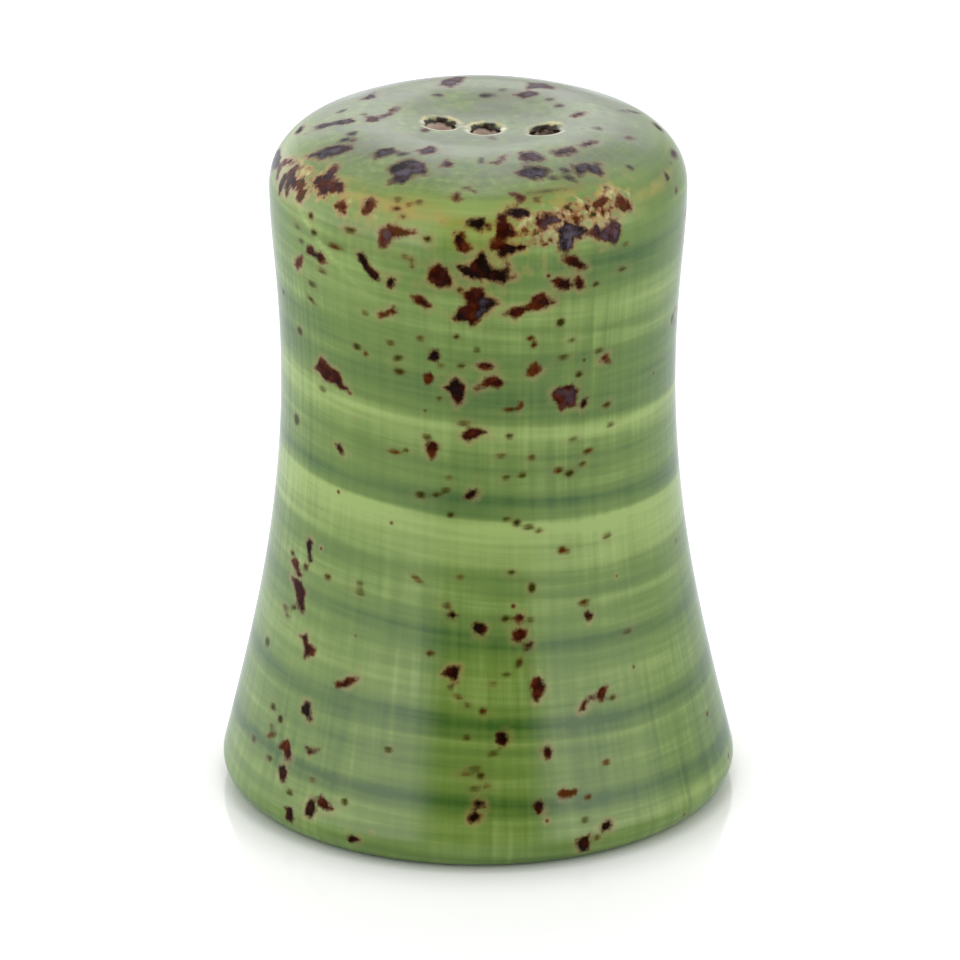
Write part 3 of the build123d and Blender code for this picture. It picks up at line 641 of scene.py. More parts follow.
# Where the glaze stretched thin and yellow along the shoulder without breaking.
RIDGE = [
    Wash((-40, 69.2), 5.0, 1.3, 0, 0.6),
    Wash((-31, 69.0), 5.0, 1.2, -4, 0.7),
    Wash((-24.5, 68.9), 3.6, 2.2, -4, 0.85),
    Wash((-18, 69.2), 3.4, 2.2, -4, 0.8),
    Wash((-12, 68.4), 4.6, 1.6, -4, 0.6),
    Wash((-6, 68.0), 4.0, 1.3, -3, 0.4),
    Wash((3, 67.4), 3.6, 1.6, 0, 0.5),
    Wash((56, 67.9), 5.0, 1.2, 0, 0.55),
    Wash((68, 68.0), 6.0, 1.2, 0, 0.6),
]


def oval(u: np.ndarray, v: np.ndarray, width: float, height: float) -> np.ndarray:
    """Distance inside an oval's edge, roughly in millimetres, negative outside it."""
    reach = np.sqrt((2 * u / width) ** 2 + (2 * v / height) ** 2)
    return (1 - reach) * min(width, height) / 2


def turned(u: np.ndarray, v: np.ndarray, lean: float) -> tuple[np.ndarray, np.ndarray]:
    """Coordinates along and across a shape that leans by some degrees."""
    c, s = math.cos(math.radians(lean)), math.sin(math.radians(lean))
    return c * u + s * v, c * v - s * u


def inside_polygon(points: np.ndarray, corners: np.ndarray) -> np.ndarray:
    """Signed distance to a polygon's outline.

    Args:
        points: (u, v) rows.
        corners: (u, v) rows, in order round the polygon.

    Returns:
        For each point its distance to the outline, positive inside.
    """
    nearest = np.full(len(points), np.inf)
    crossings = np.zeros(len(points), int)
    for a, b in zip(corners, np.roll(corners, -1, 0)):
        edge = b - a
        away = points - a
        t = np.clip(away @ edge / max(edge @ edge, 1e-9), 0, 1)
        nearest = np.minimum(nearest, np.linalg.norm(away - t[:, None] * edge, axis=1))
        spans = (a[1] > points[:, 1]) != (b[1] > points[:, 1])
        rise = edge[1] if abs(edge[1]) > 1e-9 else 1e-9
        crossings += spans & (points[:, 0] < a[0] + edge[0] * (points[:, 1] - a[1]) / rise)
    return np.where(crossings % 2 == 1, nearest, -nearest)


@dataclass
class Pattern:
    """The painted pattern, worked out for each point of the glaze.

    Attributes:
        places: (x, y) of each point.
        azimuth: Degrees to the right of the front.
        along: Millimetres up the outside from the foot.
        radius_at: Radius of the side at any distance up it.
        top_from: Distance up the outside where the top begins.
        seed: Fixes the flecks on the back, which are drawn at random.
        back_chips: How many shards those are.
        back_specks: How many ovals.
        distance: Signed distance inside the nearest fleck.
        tone: That fleck's colour.
        strength: How well it covers.
        bloom: How much painted grey sheen, standing in for reflection, lies on its middle.
        ragged: How uneven its edge is.
    """

    places: np.ndarray
    azimuth: np.ndarray
    along: np.ndarray
    radius_at: Callable[[float], float]
    top_from: float
    seed: int = 11
    back_chips: int = 46
    back_specks: int = 150
    distance: np.ndarray = field(init=False)
    tone: np.ndarray = field(init=False)
    strength: np.ndarray = field(init=False)
    bloom: np.ndarray = field(init=False)
    ragged: np.ndarray = field(init=False)

    def __post_init__(self) -> None:
        """Starts with bare glaze."""
        count = len(self.along)
        self.distance = np.full(count, BARE)
        self.tone = np.full(count, Tone.RUST.value)
        self.strength = np.ones(count)
        self.bloom = np.zeros(count)
        self.ragged = np.full(count, SPECK_RAGGED)

    def near(self, place: tuple[float, float], on_top: bool) -> tuple[np.ndarray, np.ndarray, np.ndarray]:
        """Coordinates round a place.

        Args:
            place: Where the shape lies, as a Chip or a Speck gives it.
            on_top: Whether that is an (x, y) place on the top.

        Returns:
            Millimetres to the right and up from the place, and which points may lie near it.
        """
        if on_top:
            u, v = self.places[:, 0] - place[0], self.places[:, 1] - place[1]
            return u, v, (self.along > self.top_from) & (np.hypot(u, v) < TOP_REACH)
        turn = (self.azimuth - place[0] + 180) % 360 - 180
        u = np.radians(turn) * self.radius_at(place[1])
        v = self.along - place[1]
        return u, v, np.hypot(u, v) < SIDE_REACH

    def lay(self, near: np.ndarray, inside: np.ndarray, **look: float) -> None:
        """Adds a shape, which hides what it covers better.

        Args:
            near: Which points the shape was worked out for.
            inside: Its signed distance at those points.
            **look: Its tone, strength, bloom and ragged.
        """
        rows = np.flatnonzero(near)
        better = rows[inside > self.distance[rows]]
        self.distance[rows] = np.maximum(self.distance[rows], inside)
        for name, value in look.items():
            getattr(self, name)[better] = value

    def chip(self, chip: Chip, on_top: bool = False) -> None:
        """Adds one shard.

        Args:
            chip: The shard.
            on_top: Whether it lies on the top.
        """
        corners = np.array(chip.corners)
        centre = tuple(corners.mean(0))
        u, v, near = self.near(centre, on_top)
        local = corners - centre
        if not on_top:
            local[:, 0] = np.radians(local[:, 0]) * self.radius_at(centre[1])
        inside = inside_polygon(np.stack([u[near], v[near]], 1), local)
        bloom = TOP_PAINTED_SHEEN if on_top else chip.bloom
        self.lay(near, inside, tone=chip.tone.value, strength=1.0, bloom=bloom, ragged=1.0)

    def speck(self, speck: Speck, on_top: bool = False) -> None:
        """Adds one oval fleck.

        Args:
            speck: The fleck.
            on_top: Whether it lies on the top.
        """
        u, v, near = self.near((speck.x, speck.y), on_top)
        u, v = turned(u[near], v[near], speck.lean)
        inside = oval(u, v, speck.width, speck.height) + SPECK_GROWTH
        strength = min(1.0, SPECK_COVER * speck.strength)
        bloom = TOP_PAINTED_SHEEN if on_top else 0.0
        self.lay(near, inside, tone=speck.tone.value, strength=strength, bloom=bloom, ragged=SPECK_RAGGED)

    def scatter(self) -> None:
        """Carries the flecks on round the back, more thickly towards the shoulder."""
        rng = np.random.default_rng(self.seed)
        for _ in range(self.back_chips):
            azimuth = rng.uniform(*BACK_FOR_CHIPS)
            along = self.top_from - abs(rng.normal(0, 17)) + rng.uniform(-3, 6)
            if along < 4:
                along = rng.uniform(4, 60)
            self.chip(self.random_chip(rng, azimuth, along))
        for _ in range(self.back_specks):
            azimuth = rng.uniform(*BACK_FOR_SPECKS)
            along = rng.uniform(3, 70) if rng.random() < 0.5 else rng.uniform(45, 70)
            tone = rng.choice([INK, OXBLOOD, RUST, OLIVE, OLIVE])
            width = rng.uniform(0.5, 1.3)
            height = width * rng.uniform(0.4, 0.9)
            lean = rng.uniform(-25, 25)
            self.speck(Speck(tone, azimuth, along, width, height, lean, rng.uniform(0.6, 1)))

    def random_chip(self, rng: np.random.Generator, azimuth: float, along: float) -> Chip:
        """A shard with an uneven outline of its own.

        Args:
            rng: Source of the random draws.
            azimuth: Degrees to the right of the front.
            along: Millimetres up the side.

        Returns:
            The shard.
        """
        count = rng.integers(5, 10)
        size = rng.uniform(0.5, 1.0) if rng.random() < 0.7 else rng.uniform(1.0, 1.9)
        turns = np.sort(rng.uniform(0, 2 * math.pi, count))
        reach = size * rng.uniform(0.45, 1.25, count)
        stretch = rng.uniform(1.0, 1.9)
        lean = rng.uniform(-25, 25)
        u, v = turned(reach * np.cos(turns) * stretch, reach * np.sin(turns) * 0.75, lean)
        degrees = np.degrees(u / self.radius_at(along))
        tone = rng.choice([INK, OXBLOOD, OXBLOOD, RUST])
        return Chip(tone, tuple(zip(azimuth + degrees, along + v)))

    def washes(self, patches: list[Wash]) -> np.ndarray:
        """Adds up soft patches.

        Args:
            patches: The patches.

        Returns:
            What they come to at each point.
        """
        total = np.zeros(len(self.along))
        for wash in patches:
            u, v, _ = self.near(wash.place, False)
            u, v = turned(u, v, wash.lean)
            total += wash.amount * np.exp(-((2 * u / wash.width) ** 2) - (2 * v / wash.height) ** 2)
        return total

    def paint(self) -> None:
        """Lays every fleck."""
        for on_top, chips, specks in ((False, SIDE_CHIPS, SIDE_SPECKS), (True, TOP_CHIPS, TOP_SPECKS)):
            for chip in chips:
                self.chip(chip, on_top)
            for tone, rows in specks.items():
                for row in rows:
                    self.speck(Speck(tone, *row), on_top)
        self.scatter()


# ---- Finishes -------------------------------------------------------------------------------

SINKING_SHARE = 0.3  # of the light that enters a milky material, the part that wanders in it
SINKING_REACH = (1.0, 0.9, 0.8)  # how far red, green and blue get, against each other


@dataclass(frozen=True)
class ReactiveGlaze:
    """Hand-banded reactive glaze: a glossy green glass, brushed on in turning strokes, with iron
    flecks that break through it. The eye sees soft horizontal strokes with a fine cross weave,
    dark red shards with rusty edges, and the studio mirrored in the gloss."""

    dark: str = "3e6519"
    middle: str = "75923b"
    light: str = "a9c26a"
    ink: str = "150904"
    oxblood: str = "3c1004"
    rust: str = "602a06"
    olive: str = "35370c"
    edge: str = "683814"
    # painted grey sheen on the flecks' middles, standing in for their reflection
    bloom: str = "625a66"
    halo: str = "b0955c"
    scorch: str = "a66e30"
    crease: str = "b3a24a"
    cream: str = "d3cd90"
    rim_clay: str = "f2ddcd"
    rim_brown: str = "2e1c0c"
    # cream of the thin glaze round the holes, also used for the painted highlight on each front lip
    rim_cream_and_highlight: str = "f3efd6"
    rim_yellow: str = "a3ad62"
    rim_glaze: str = "d2c896"  # tints the rear of the rims
    side_sheen: str = "c08a5a"
    top_sheen: str = "e8dfec"
    # painted shade and painted grey sheen of the top, mixed over the brushed colour in clouds
    painted_top_shade_and_sheen: str = "6d7360"
    roughness: float = 0.07
    fleck_roughness: float = 0.5  # of the flecks on the top, where they lie thick and dry
    gloss: tuple[float, float] = (0.5, 0.25)  # how strongly the side and the top mirror
    fleck_gloss: tuple[float, float] = (0.06, 0.15)  # and the flecks on each
    ior: float = 1.6
    low_tilt: float = -0.044  # how much the strokes fall to the right near the foot
    high_tilt: float = -0.093  # and above it
    tilt_change: tuple[float, float] = (17.0, 25.0)  # how far up the side that changes
    tilt_end: tuple[float, float] = (60.0, 72.0)  # and where the strokes turn level
    wobble: float = 1.5  # how far they swing up and down, in millimetres
    stroke_shift: float = 1.15  # how far above BANDS they lie
    striation: float = 0.34  # millimetres between brush hairs
    streak_angle: float = 1.1  # degrees between the fine upright streaks
    streak_end: tuple[float, float] = (64.0, 69.0)  # how far up the side those fade
    hair_amount: float = 0.75  # what each of these adds to the lightness
    streak_amount: float = 0.65
    cloud_amount: float = 0.3
    speckle_amount: float = 1.2  # on the top alone
    top_edge: tuple[float, float] = (69.0, 73.0)  # how far up the side turns into the top
    bite: float = 0.5  # how far noise eats into the edge of a chip, in millimetres
    crumble: float = 1.8  # how far crumbs stray where the glaze breaks up
    dust_gap: float = 1.7  # millimetres between the grains of dust
    tone_change: float = 1.7  # how much the tone varies within a fleck
    relief: tuple[float, float] = (0.25, 0.1)  # strength and depth in millimetres
    fleck_relief: float = 0.12  # how proud the flecks are, as a share of that

    def make(self) -> bpy.types.Material:
        """Builds the node material.

        Returns:
            The material.
        """
        material, graph, shader = new_material("reactive_glaze")
        parts = graph.add("SeparateXYZ", graph.place).node
        colour = self.brushed(graph, self.lightness(graph, parts))
        colour = self.broken_edge(graph, colour)
        colour, cover = self.flecked(graph, colour)
        colour = self.rimmed(graph, colour)
        upward = self.shoulder(graph, 65.5, 70.5)
        fleck_gloss = graph.add("MapRange", upward, 0.0, 1.0, *self.fleck_gloss)
        gloss = graph.add("MapRange", self.shoulder(graph, 77.0, 83.0), 0.0, 1.0, *self.gloss)
        sheens = {0: upward, 6: self.side_sheen, 7: self.top_sheen}
        fleck_sheen = graph.add("Mix", sheens, out=2, data_type="RGBA")
        tints = {0: cover, 6: "ffffff", 7: fleck_sheen}
        fleck_rough = graph.add("MapRange", upward, 0.0, 1.0, self.roughness, self.fleck_roughness)
        graph.feed(shader, {
            "Base Color": colour,
            "Normal": self.surface(graph, cover),
            "Specular IOR Level": graph.add("Mix", {0: cover, 2: gloss, 3: fleck_gloss}),
            "Specular Tint": graph.add("Mix", tints, out=2, data_type="RGBA"),
            "Roughness": graph.add("Mix", {0: cover, 2: self.roughness, 3: fleck_rough}),
            "IOR": self.ior,
        })
        return material

    def shoulder(self, graph: Graph, start: float, end: float) -> Socket:
        """A smooth step from 0 to 1 between two distances up the side."""
        along = graph.add("Attribute", out="Fac", attribute_name="along_mm")
        return graph.add("MapRange", along, start, end, interpolation_type="SMOOTHSTEP")

    def lightness(self, graph: Graph, parts: bpy.types.Node) -> Socket:
        """How light the brushed glaze is: strokes, brush hairs, upright streaks and clouds.

        Args:
            graph: The material's nodes.
            parts: The node that splits each point's place into x, y and z.

        Returns:
            The lightness, mostly from 0 to 1.
        """
        along = graph.add("Attribute", out="Fac", attribute_name="along_mm")
        tilt = graph.add("MapRange", along, *self.tilt_change, -self.low_tilt, -self.high_tilt)
        lessening = graph.add("MapRange", along, *self.tilt_end, 1.0, 0.2)
        tilt = graph.add("Math", tilt, lessening, operation="MULTIPLY")
        level = graph.add("Math", parts.outputs[0], tilt, along, operation="MULTIPLY_ADD")
        wavy = graph.add("Math", graph.noise(22, 1), self.wobble, level, operation="MULTIPLY_ADD")
        total = self.strokes(graph, graph.add("Math", wavy, self.stroke_shift, operation="SUBTRACT"))
        fade = graph.add("MapRange", self.shoulder(graph, *self.streak_end), 0.0, 1.0, 1.0, 0.12)
        patchy = graph.add("MapRange", graph.noise(13, 1), -0.1, 0.15, 0.35, 1.1)
        fade = graph.add("Math", fade, patchy, operation="MULTIPLY")
        streaks = graph.add("Math", self.streaks(graph, parts, level), fade, operation="MULTIPLY")
        extras = (
            (self.hairs(graph, parts, level), self.hair_amount),
            (streaks, self.streak_amount),
            (graph.noise(7, 2), self.cloud_amount),
            (graph.add("Attribute", out="Fac", attribute_name="wash"), 1.0),
        )
        for extra, amount in extras:
            total = graph.add("Math", extra, amount, total, operation="MULTIPLY_ADD")
        return total

    def strokes(self, graph: Graph, height: Socket) -> Socket:
        """Lightness of the strokes at each height, from BANDS, which two ramps share.

        Args:
            graph: The material's nodes.
            height: Millimetres up the side, measured along the tilted strokes.

        Returns:
            The lightness.
        """
        split = BANDS[len(BANDS) // 2][0]
        halves = []
        for low, high in ((BANDS[0][0], split), (split, BANDS[-1][0])):
            stops = [((z - low) / (high - low), shade) for z, shade in BANDS if low <= z <= high]
            share = graph.add("MapRange", height, low, high)
            halves.append(set_stops(graph.add("ValToRGB", share), stops))
        higher = graph.add("Math", height, split, operation="GREATER_THAN")
        return graph.add("Mix", {0: higher, 2: halves[0], 3: halves[1]})

    def hairs(self, graph: Graph, parts: bpy.types.Node, level: Socket) -> Socket:
        """Fine lines that the brush hairs leave along the strokes.

        Args:
            graph: The material's nodes.
            parts: The node that splits each point's place into x, y and z.
            level: Height along the tilted strokes.

        Returns:
            Noise centred on zero.
        """
        long_way = graph.add("CombineXYZ", parts.outputs[0], parts.outputs[1], level)
        squeezed = graph.add("VectorMath", long_way, (0.05, 0.05, 1.0), operation="MULTIPLY")
        return graph.noise(3 * self.striation, 3, squeezed)

    def streaks(self, graph: Graph, parts: bpy.types.Node, level: Socket) -> Socket:
        """Fine upright streaks, which cross the strokes like a weave.

        Args:
            graph: The material's nodes.
            parts: The node that splits each point's place into x, y and z.
            level: Height along the tilted strokes.

        Returns:
            Noise centred on zero.
        """
        outward = graph.add("CombineXYZ", parts.outputs[0], parts.outputs[1], 0.0)
        way = graph.add("VectorMath", outward, operation="NORMALIZE")
        spread = graph.add("VectorMath", {0: way, 3: RADIAN / self.streak_angle / 2}, operation="SCALE")
        rise = graph.add("CombineXYZ", 0.0, 0.0, graph.add("Math", level, 0.06, operation="MULTIPLY"))
        return graph.noise(1.0, 2, graph.add("VectorMath", spread, rise, operation="ADD"))

    def brushed(self, graph: Graph, lightness: Socket) -> Socket:
        """Colour of the glaze where it carries no fleck.

        Args:
            graph: The material's nodes.
            lightness: How light the strokes are.

        Returns:
            The colour, darkened and greyed in clouds on the top: painted shade with a painted grey sheen.
        """
        on_top = self.shoulder(graph, 69.0, 75.0)
        speckle = graph.add("Math", graph.noise(0.9, 4), on_top, operation="MULTIPLY")
        lightness = graph.add("Math", speckle, self.speckle_amount, lightness, operation="MULTIPLY_ADD")
        stops = [(0.0, self.dark), (0.5, self.middle), (1.0, self.light)]
        painted = set_stops(graph.add("ValToRGB", lightness), stops)
        # painted shade and painted grey sheen on the top, in clouds
        mottled = graph.add("Math", graph.noise(1.1, 3), 0.8, graph.noise(5.0, 2), operation="MULTIPLY_ADD")
        painted_top_share = graph.add("MapRange", mottled, -0.2, 0.2, 0.3, 0.9)
        painted_top_share = graph.add("Math", painted_top_share, on_top, operation="MULTIPLY")
        return graph.add("Mix", {0: painted_top_share, 6: painted, 7: self.painted_top_shade_and_sheen}, out=2, data_type="RGBA")

    def broken_edge(self, graph: Graph, colour: Socket) -> Socket:
        """Yellow ridge, and broken cream and gold patches, where the glaze runs off the shoulder.

        Args:
            graph: The material's nodes.
            colour: Colour so far.

        Returns:
            Colour with both.
        """
        breaking = graph.add("Attribute", out="Fac", attribute_name="breaking")
        uneven = graph.add("MapRange", graph.noise(1.4, 3), -0.2, 0.1, 0.2, 1.0)
        ridge = graph.add("Attribute", out="Fac", attribute_name="ridge")
        ridge = graph.add("Math", ridge, uneven, operation="MULTIPLY")
        broken = graph.add("MapRange", graph.noise(1.5, 3), 0.0, 0.1, 0.0, 1.1)
        broken = graph.add("Math", broken, breaking, operation="MULTIPLY")
        thinnest = graph.add("Math", breaking, 0.4, graph.noise(2.0, 2), operation="MULTIPLY_ADD")
        thinnest = graph.add("MapRange", thinnest, 0.3, 0.45)
        thin = graph.add("Mix", {0: thinnest, 6: self.crease, 7: self.cream}, out=2, data_type="RGBA")
        both = graph.add("Math", ridge, broken, operation="MAXIMUM")
        return graph.add("Mix", {0: both, 6: colour, 7: thin}, out=2, data_type="RGBA")

    def fleck_depth(self, graph: Graph, breaking: Socket, ragged: Socket) -> Socket:
        """Signed distance inside the flecks, with uneven edges, crumbs, dust and smudges.

        Args:
            graph: The material's nodes.
            breaking: How far the glaze is broken up.
            ragged: How uneven a fleck's edge is.

        Returns:
            Millimetres, positive inside.
        """
        inside = graph.add("Attribute", out="Fac", attribute_name="fleck_mm")
        for size in (1.1, 0.4):
            bite = graph.add("Math", ragged, self.bite, operation="MULTIPLY")
            inside = graph.add("Math", graph.noise(size, 2), bite, inside, operation="MULTIPLY_ADD")
        crumbs = graph.add("Math", graph.noise(0.7, 2), breaking, operation="MULTIPLY")
        inside = graph.add("Math", crumbs, self.crumble, inside, operation="MULTIPLY_ADD")
        floor = graph.add("MapRange", breaking, 0.0, 0.9, -2.0, -0.54)
        loose = graph.add("Math", graph.noise(0.8, 2), 2.2, floor, operation="MULTIPLY_ADD")
        for extra in (loose, self.dust(graph)):
            inside = graph.add("Math", inside, extra, operation="MAXIMUM")
        smudged = self.shoulder(graph, *self.top_edge)
        smudge = graph.add("Math", graph.noise(0.9, 3), smudged, operation="MULTIPLY")
        inside = graph.add("Math", smudge, inside, operation="ADD")
        softer = graph.add("MapRange", smudged, 0.0, 1.0, 1.0, 0.6)
        return graph.add("Math", inside, softer, operation="MULTIPLY")

    def dust(self, graph: Graph) -> Socket:
        """Tiny specks that lie about at random.

        Args:
            graph: The material's nodes.

        Returns:
            Signed distance inside them, in millimetres.
        """
        inputs = {"Vector": graph.place, "Scale": 1 / self.dust_gap, "Randomness": 1.0}
        found = graph.add("TexVoronoi", inputs).node
        draw = graph.add("SeparateColor", found.outputs["Color"])
        size = graph.add("MapRange", draw, 0.7, 1.0, -0.9, 0.3)
        reach = graph.add("Math", found.outputs["Distance"], self.dust_gap, operation="MULTIPLY")
        return graph.add("Math", reach, -1.5, size, operation="MULTIPLY_ADD")

    def flecked(self, graph: Graph, colour: Socket) -> tuple[Socket, Socket]:
        """Iron flecks with a ragged edge, a rusty rim, a pale halo and a painted grey sheen on their
        middles.

        Args:
            graph: The material's nodes.
            colour: Colour of the glaze under them.

        Returns:
            The colour with flecks, and how much of each point they cover.
        """
        breaking = graph.add("Attribute", out="Fac", attribute_name="breaking")
        ragged = graph.add("Attribute", out="Fac", attribute_name="fleck_ragged")
        strength = graph.add("Attribute", out="Fac", attribute_name="fleck_strength")
        inside = self.fleck_depth(graph, breaking, ragged)
        tone = graph.add("Attribute", out="Fac", attribute_name="fleck_tone")
        tone = graph.add("Math", graph.noise(1.1, 3), self.tone_change, tone, operation="MULTIPLY_ADD")
        shades = {INK: self.ink, OXBLOOD: self.oxblood, RUST: self.rust, OLIVE: self.olive}
        iron = set_stops(graph.add("ValToRGB", tone), [(t.value, s) for t, s in shades.items()])
        patch = graph.add("MapRange", graph.noise(2.6, 1), -0.12, 0.12, 0.0, 1.15)
        patch = graph.add("Math", patch, breaking, operation="ADD")
        below = graph.add("MapRange", self.shoulder(graph, *self.top_edge), 0.0, 1.0, 1.0, 0.25)
        patch = graph.add("Math", patch, below, operation="MULTIPLY")
        patch = graph.add("Math", patch, ragged, operation="MULTIPLY")
        layers = (  # signed distance where each starts and is full, its most, its colour, its share
            (-0.8, -0.12, 0.45, self.halo, patch),
            (-0.5, -0.08, 0.85, self.scorch, breaking),
            (-0.3, 0.0, 0.65, self.edge, graph.add("Math", strength, ragged, operation="MULTIPLY")),
            (-0.14, 0.16, 1.0, iron, strength),
        )
        cover = None
        for start, full, most, paint, over in layers:
            cover = graph.add("MapRange", inside, start, full, 0.0, most)
            cover = graph.add("Math", cover, over, operation="MULTIPLY")
            colour = graph.add("Mix", {0: cover, 6: colour, 7: paint}, out=2, data_type="RGBA")
        # painted sheen: the flecks' middles are greyed towards the colour of their reflection
        middle = graph.add("MapRange", inside, 0.0, 0.35)
        bloom = graph.add("Attribute", out="Fac", attribute_name="fleck_bloom")
        middle = graph.add("Math", middle, bloom, operation="MULTIPLY")
        cloudy = graph.add("MapRange", graph.noise(1.0, 3), -0.1, 0.1, 0.1, 1.0)
        grey = graph.add("Math", middle, cloudy, operation="MULTIPLY")
        colour = graph.add("Mix", {0: grey, 6: colour, 7: self.bloom}, out=2, data_type="RGBA")
        return colour, cover

    def rimmed(self, graph: Graph, colour: Socket) -> Socket:
        """Clay, burnt brown and yellow round the pour holes, where the glaze thins.

        Args:
            graph: The material's nodes.
            colour: Colour so far.

        Returns:
            Colour with the rims, and with a painted white highlight on the lip in front of each hole.
        """
        rim = graph.add("Attribute", out="Fac", attribute_name="rim_mm")
        back = graph.add("Attribute", out="Fac", attribute_name="rim_back")
        burnt = graph.add("Math", back, 0.0, operation="MAXIMUM")
        away = graph.add("Math", graph.noise(0.9, 2), 0.9, rim, operation="MULTIPLY_ADD")
        away = graph.add("Math", burnt, -0.35, away, operation="MULTIPLY_ADD")
        rings = set_stops(graph.add("ValToRGB", graph.add("MapRange", away, -2.0, 2.0)), [
            (0.0, self.rim_clay), (0.24, self.rim_clay), (0.32, self.rim_brown), (0.485, self.rim_brown),
            (0.51, self.rim_cream_and_highlight), (0.6, self.rim_cream_and_highlight), (0.68, self.rim_yellow), (1.0, self.rim_yellow),
        ])
        kept = graph.add("MapRange", away, -0.2, 0.1, 1.0, 0.0)
        patches = graph.add("MapRange", graph.noise(1.6, 1), -0.05, 0.12, 0.25, 1.0)
        patches = graph.add("Math", patches, kept, operation="MAXIMUM")
        share = graph.add("MapRange", away, 0.25, 1.0, 1.0, 0.0)
        share = graph.add("Math", share, patches, operation="MULTIPLY")
        tinted = graph.add("Math", 1.0, kept, operation="SUBTRACT")
        tinted = graph.add("Math", burnt, tinted, operation="MULTIPLY")
        yellowed = graph.add("Mix", {0: tinted, 6: "ffffff", 7: self.rim_glaze}, out=2, data_type="RGBA")
        layers = {0: 1.0, 6: rings, 7: yellowed}
        rings = graph.add("Mix", layers, out=2, data_type="RGBA", blend_type="MULTIPLY")
        colour = graph.add("Mix", {0: share, 6: colour, 7: rings}, out=2, data_type="RGBA")
        # painted highlight: a near-white lip on the front of each hole's rounded mouth
        lip = graph.add("MapRange", back, -0.35, -0.95, 0.0, 0.85)
        for start, end in ((-0.3, -0.1), (0.85, 0.5)):
            lip = graph.add("Math", lip, graph.add("MapRange", rim, start, end), operation="MULTIPLY")
        return graph.add("Mix", {0: lip, 6: colour, 7: self.rim_cream_and_highlight}, out=2, data_type="RGBA")

    def surface(self, graph: Graph, cover: Socket) -> Socket:
        """Slow waves of the fired gloss, with the flecks a little proud.

        Args:
            graph: The material's nodes.
            cover: How much of each point the flecks cover.

        Returns:
            The bent normal.
        """
        stronger = graph.add("MapRange", self.shoulder(graph, 68.0, 75.0), 0.0, 1.0, 1.0, 12.0)
        waves = graph.add("Math", graph.noise(6, 1), stronger, operation="MULTIPLY")
        height = graph.add("Math", cover, self.fleck_relief, waves, operation="MULTIPLY_ADD")
        strength, depth = self.relief
        return graph.add("Bump", {"Strength": strength, "Distance": depth * MM, "Height": height})


@dataclass(frozen=True)
class Grained:
    """A finish whose colour and relief both follow one grain.

    Attributes:
        name: The material's name.
        shades: Its two colours, each with its place in the grain from 0 to 1.
        grain: Size of the grain in millimetres.
        detail: How many finer layers the grain has.
        relief: Strength of the relief, and its depth in millimetres.
        roughness: How matt it is.
        ior: How strongly it bends light.
        depth: Millimetres that light sinks in, if it does.
    """

    name: str
    shades: tuple[tuple[float, str], tuple[float, str]]
    grain: float
    detail: float
    relief: tuple[float, float]
    roughness: float
    ior: float = 1.5
    depth: float = 0.0

    def make(self) -> bpy.types.Material:
        """Builds the node material.

        Returns:
            The material.
        """
        material, graph, shader = new_material(self.name)
        inputs = {"Vector": graph.place, "Scale": 1 / self.grain, "Detail": self.detail}
        grain = graph.add("TexNoise", inputs)
        strength, depth = self.relief
        graph.feed(shader, {
            "Base Color": set_stops(graph.add("ValToRGB", grain), list(self.shades)),
            "Normal": graph.add("Bump", {"Strength": strength, "Distance": depth * MM, "Height": grain}),
            "Roughness": self.roughness,
            "IOR": self.ior,
        })
        if self.depth:
            graph.feed(shader, {
                "Subsurface Weight": SINKING_SHARE,
                "Subsurface Radius": SINKING_REACH,
                "Subsurface Scale": self.depth * MM,
            })
        return material


@dataclass(frozen=True)
class LinerGlaze(Grained):
    """Clear liner glaze over white porcelain, poured and drained: a glossy warm white, a shade
    darker where it pools."""

    name: str = "liner_glaze"
    shades: tuple[tuple[float, str], tuple[float, str]] = ((0.3, "d3cfc2"), (0.7, "e6e3da"))
    grain: float = 9.0
    detail: float = 3.0
    relief: tuple[float, float] = (0.2, 0.1)
    roughness: float = 0.12


@dataclass(frozen=True)
class BareClay(Grained):
    """Unglazed porcelain of the foot ring, ground flat after firing: a matt off-white with fine
    grit, drawn coarser than real grit so that it shows, and a few iron specks."""

    name: str = "bare_clay"
    shades: tuple[tuple[float, str], tuple[float, str]] = ((0.35, "b9ae9b"), (0.6, "d8d0c0"))
    grain: float = 0.25
    detail: float = 4.0
    relief: tuple[float, float] = (0.5, 0.05)
    roughness: float = 0.75


@dataclass(frozen=True)
class Silicone(Grained):
    """Moulded milky silicone: soft and half matt, with light that sinks in a little and the fine
    texture of a spark-eroded mould."""

    name: str = "milky_silicone"
    shades: tuple[tuple[float, str], tuple[float, str]] = ((0.3, "c4c7c2"), (0.7, "d9dbd6"))
    grain: float = 0.3
    detail: float = 2.0
    relief: tuple[float, float] = (0.15, 0.05)
    roughness: float = 0.42
    ior: float = 1.41
    depth: float = 1.2


# ---- The body -------------------------------------------------------------------------------

# Where each stretch of the surface lies in the flattened one, which is 1 wide and 1 high.
OUTSIDE_SHEET = (0.005, 0.99, 0.36, 0.635)  # left, width, low and height
INSIDE_SHEET = (0.25, 0.745, 0.005, 0.33)
OUTER_TOP_SHEET = (0.1, (0.12, 0.23))  # radius and middle
INNER_TOP_SHEET = (0.055, (0.065, 0.065))
BORE_SHEET = (0.13, 0.1, 0.01, 0.025)  # as OUTSIDE_SHEET, for the first pour hole
BORE_SHEET_RISE = 0.03  # from one pour hole to the next

BORE_LEVELS = (0.1, 0.22, 0.4, 0.7)  # shares of the wall at which a pour hole has rings of points
BORE_FROM = 0.3  # millimetres under the top's surface where the inside of a pour hole starts
CLAY_LEAN = 0.25  # how much more clay is bare on a pour hole's left, for each millimetre
FAR = 9.0  # stored where no pour hole is near
FLAT = 0.02  # millimetres within which two heights are one


class Face(Enum):
    """Material slot of each stretch of the body's surface."""

    GLAZE = 0
    LINER = 1
    CLAY = 2


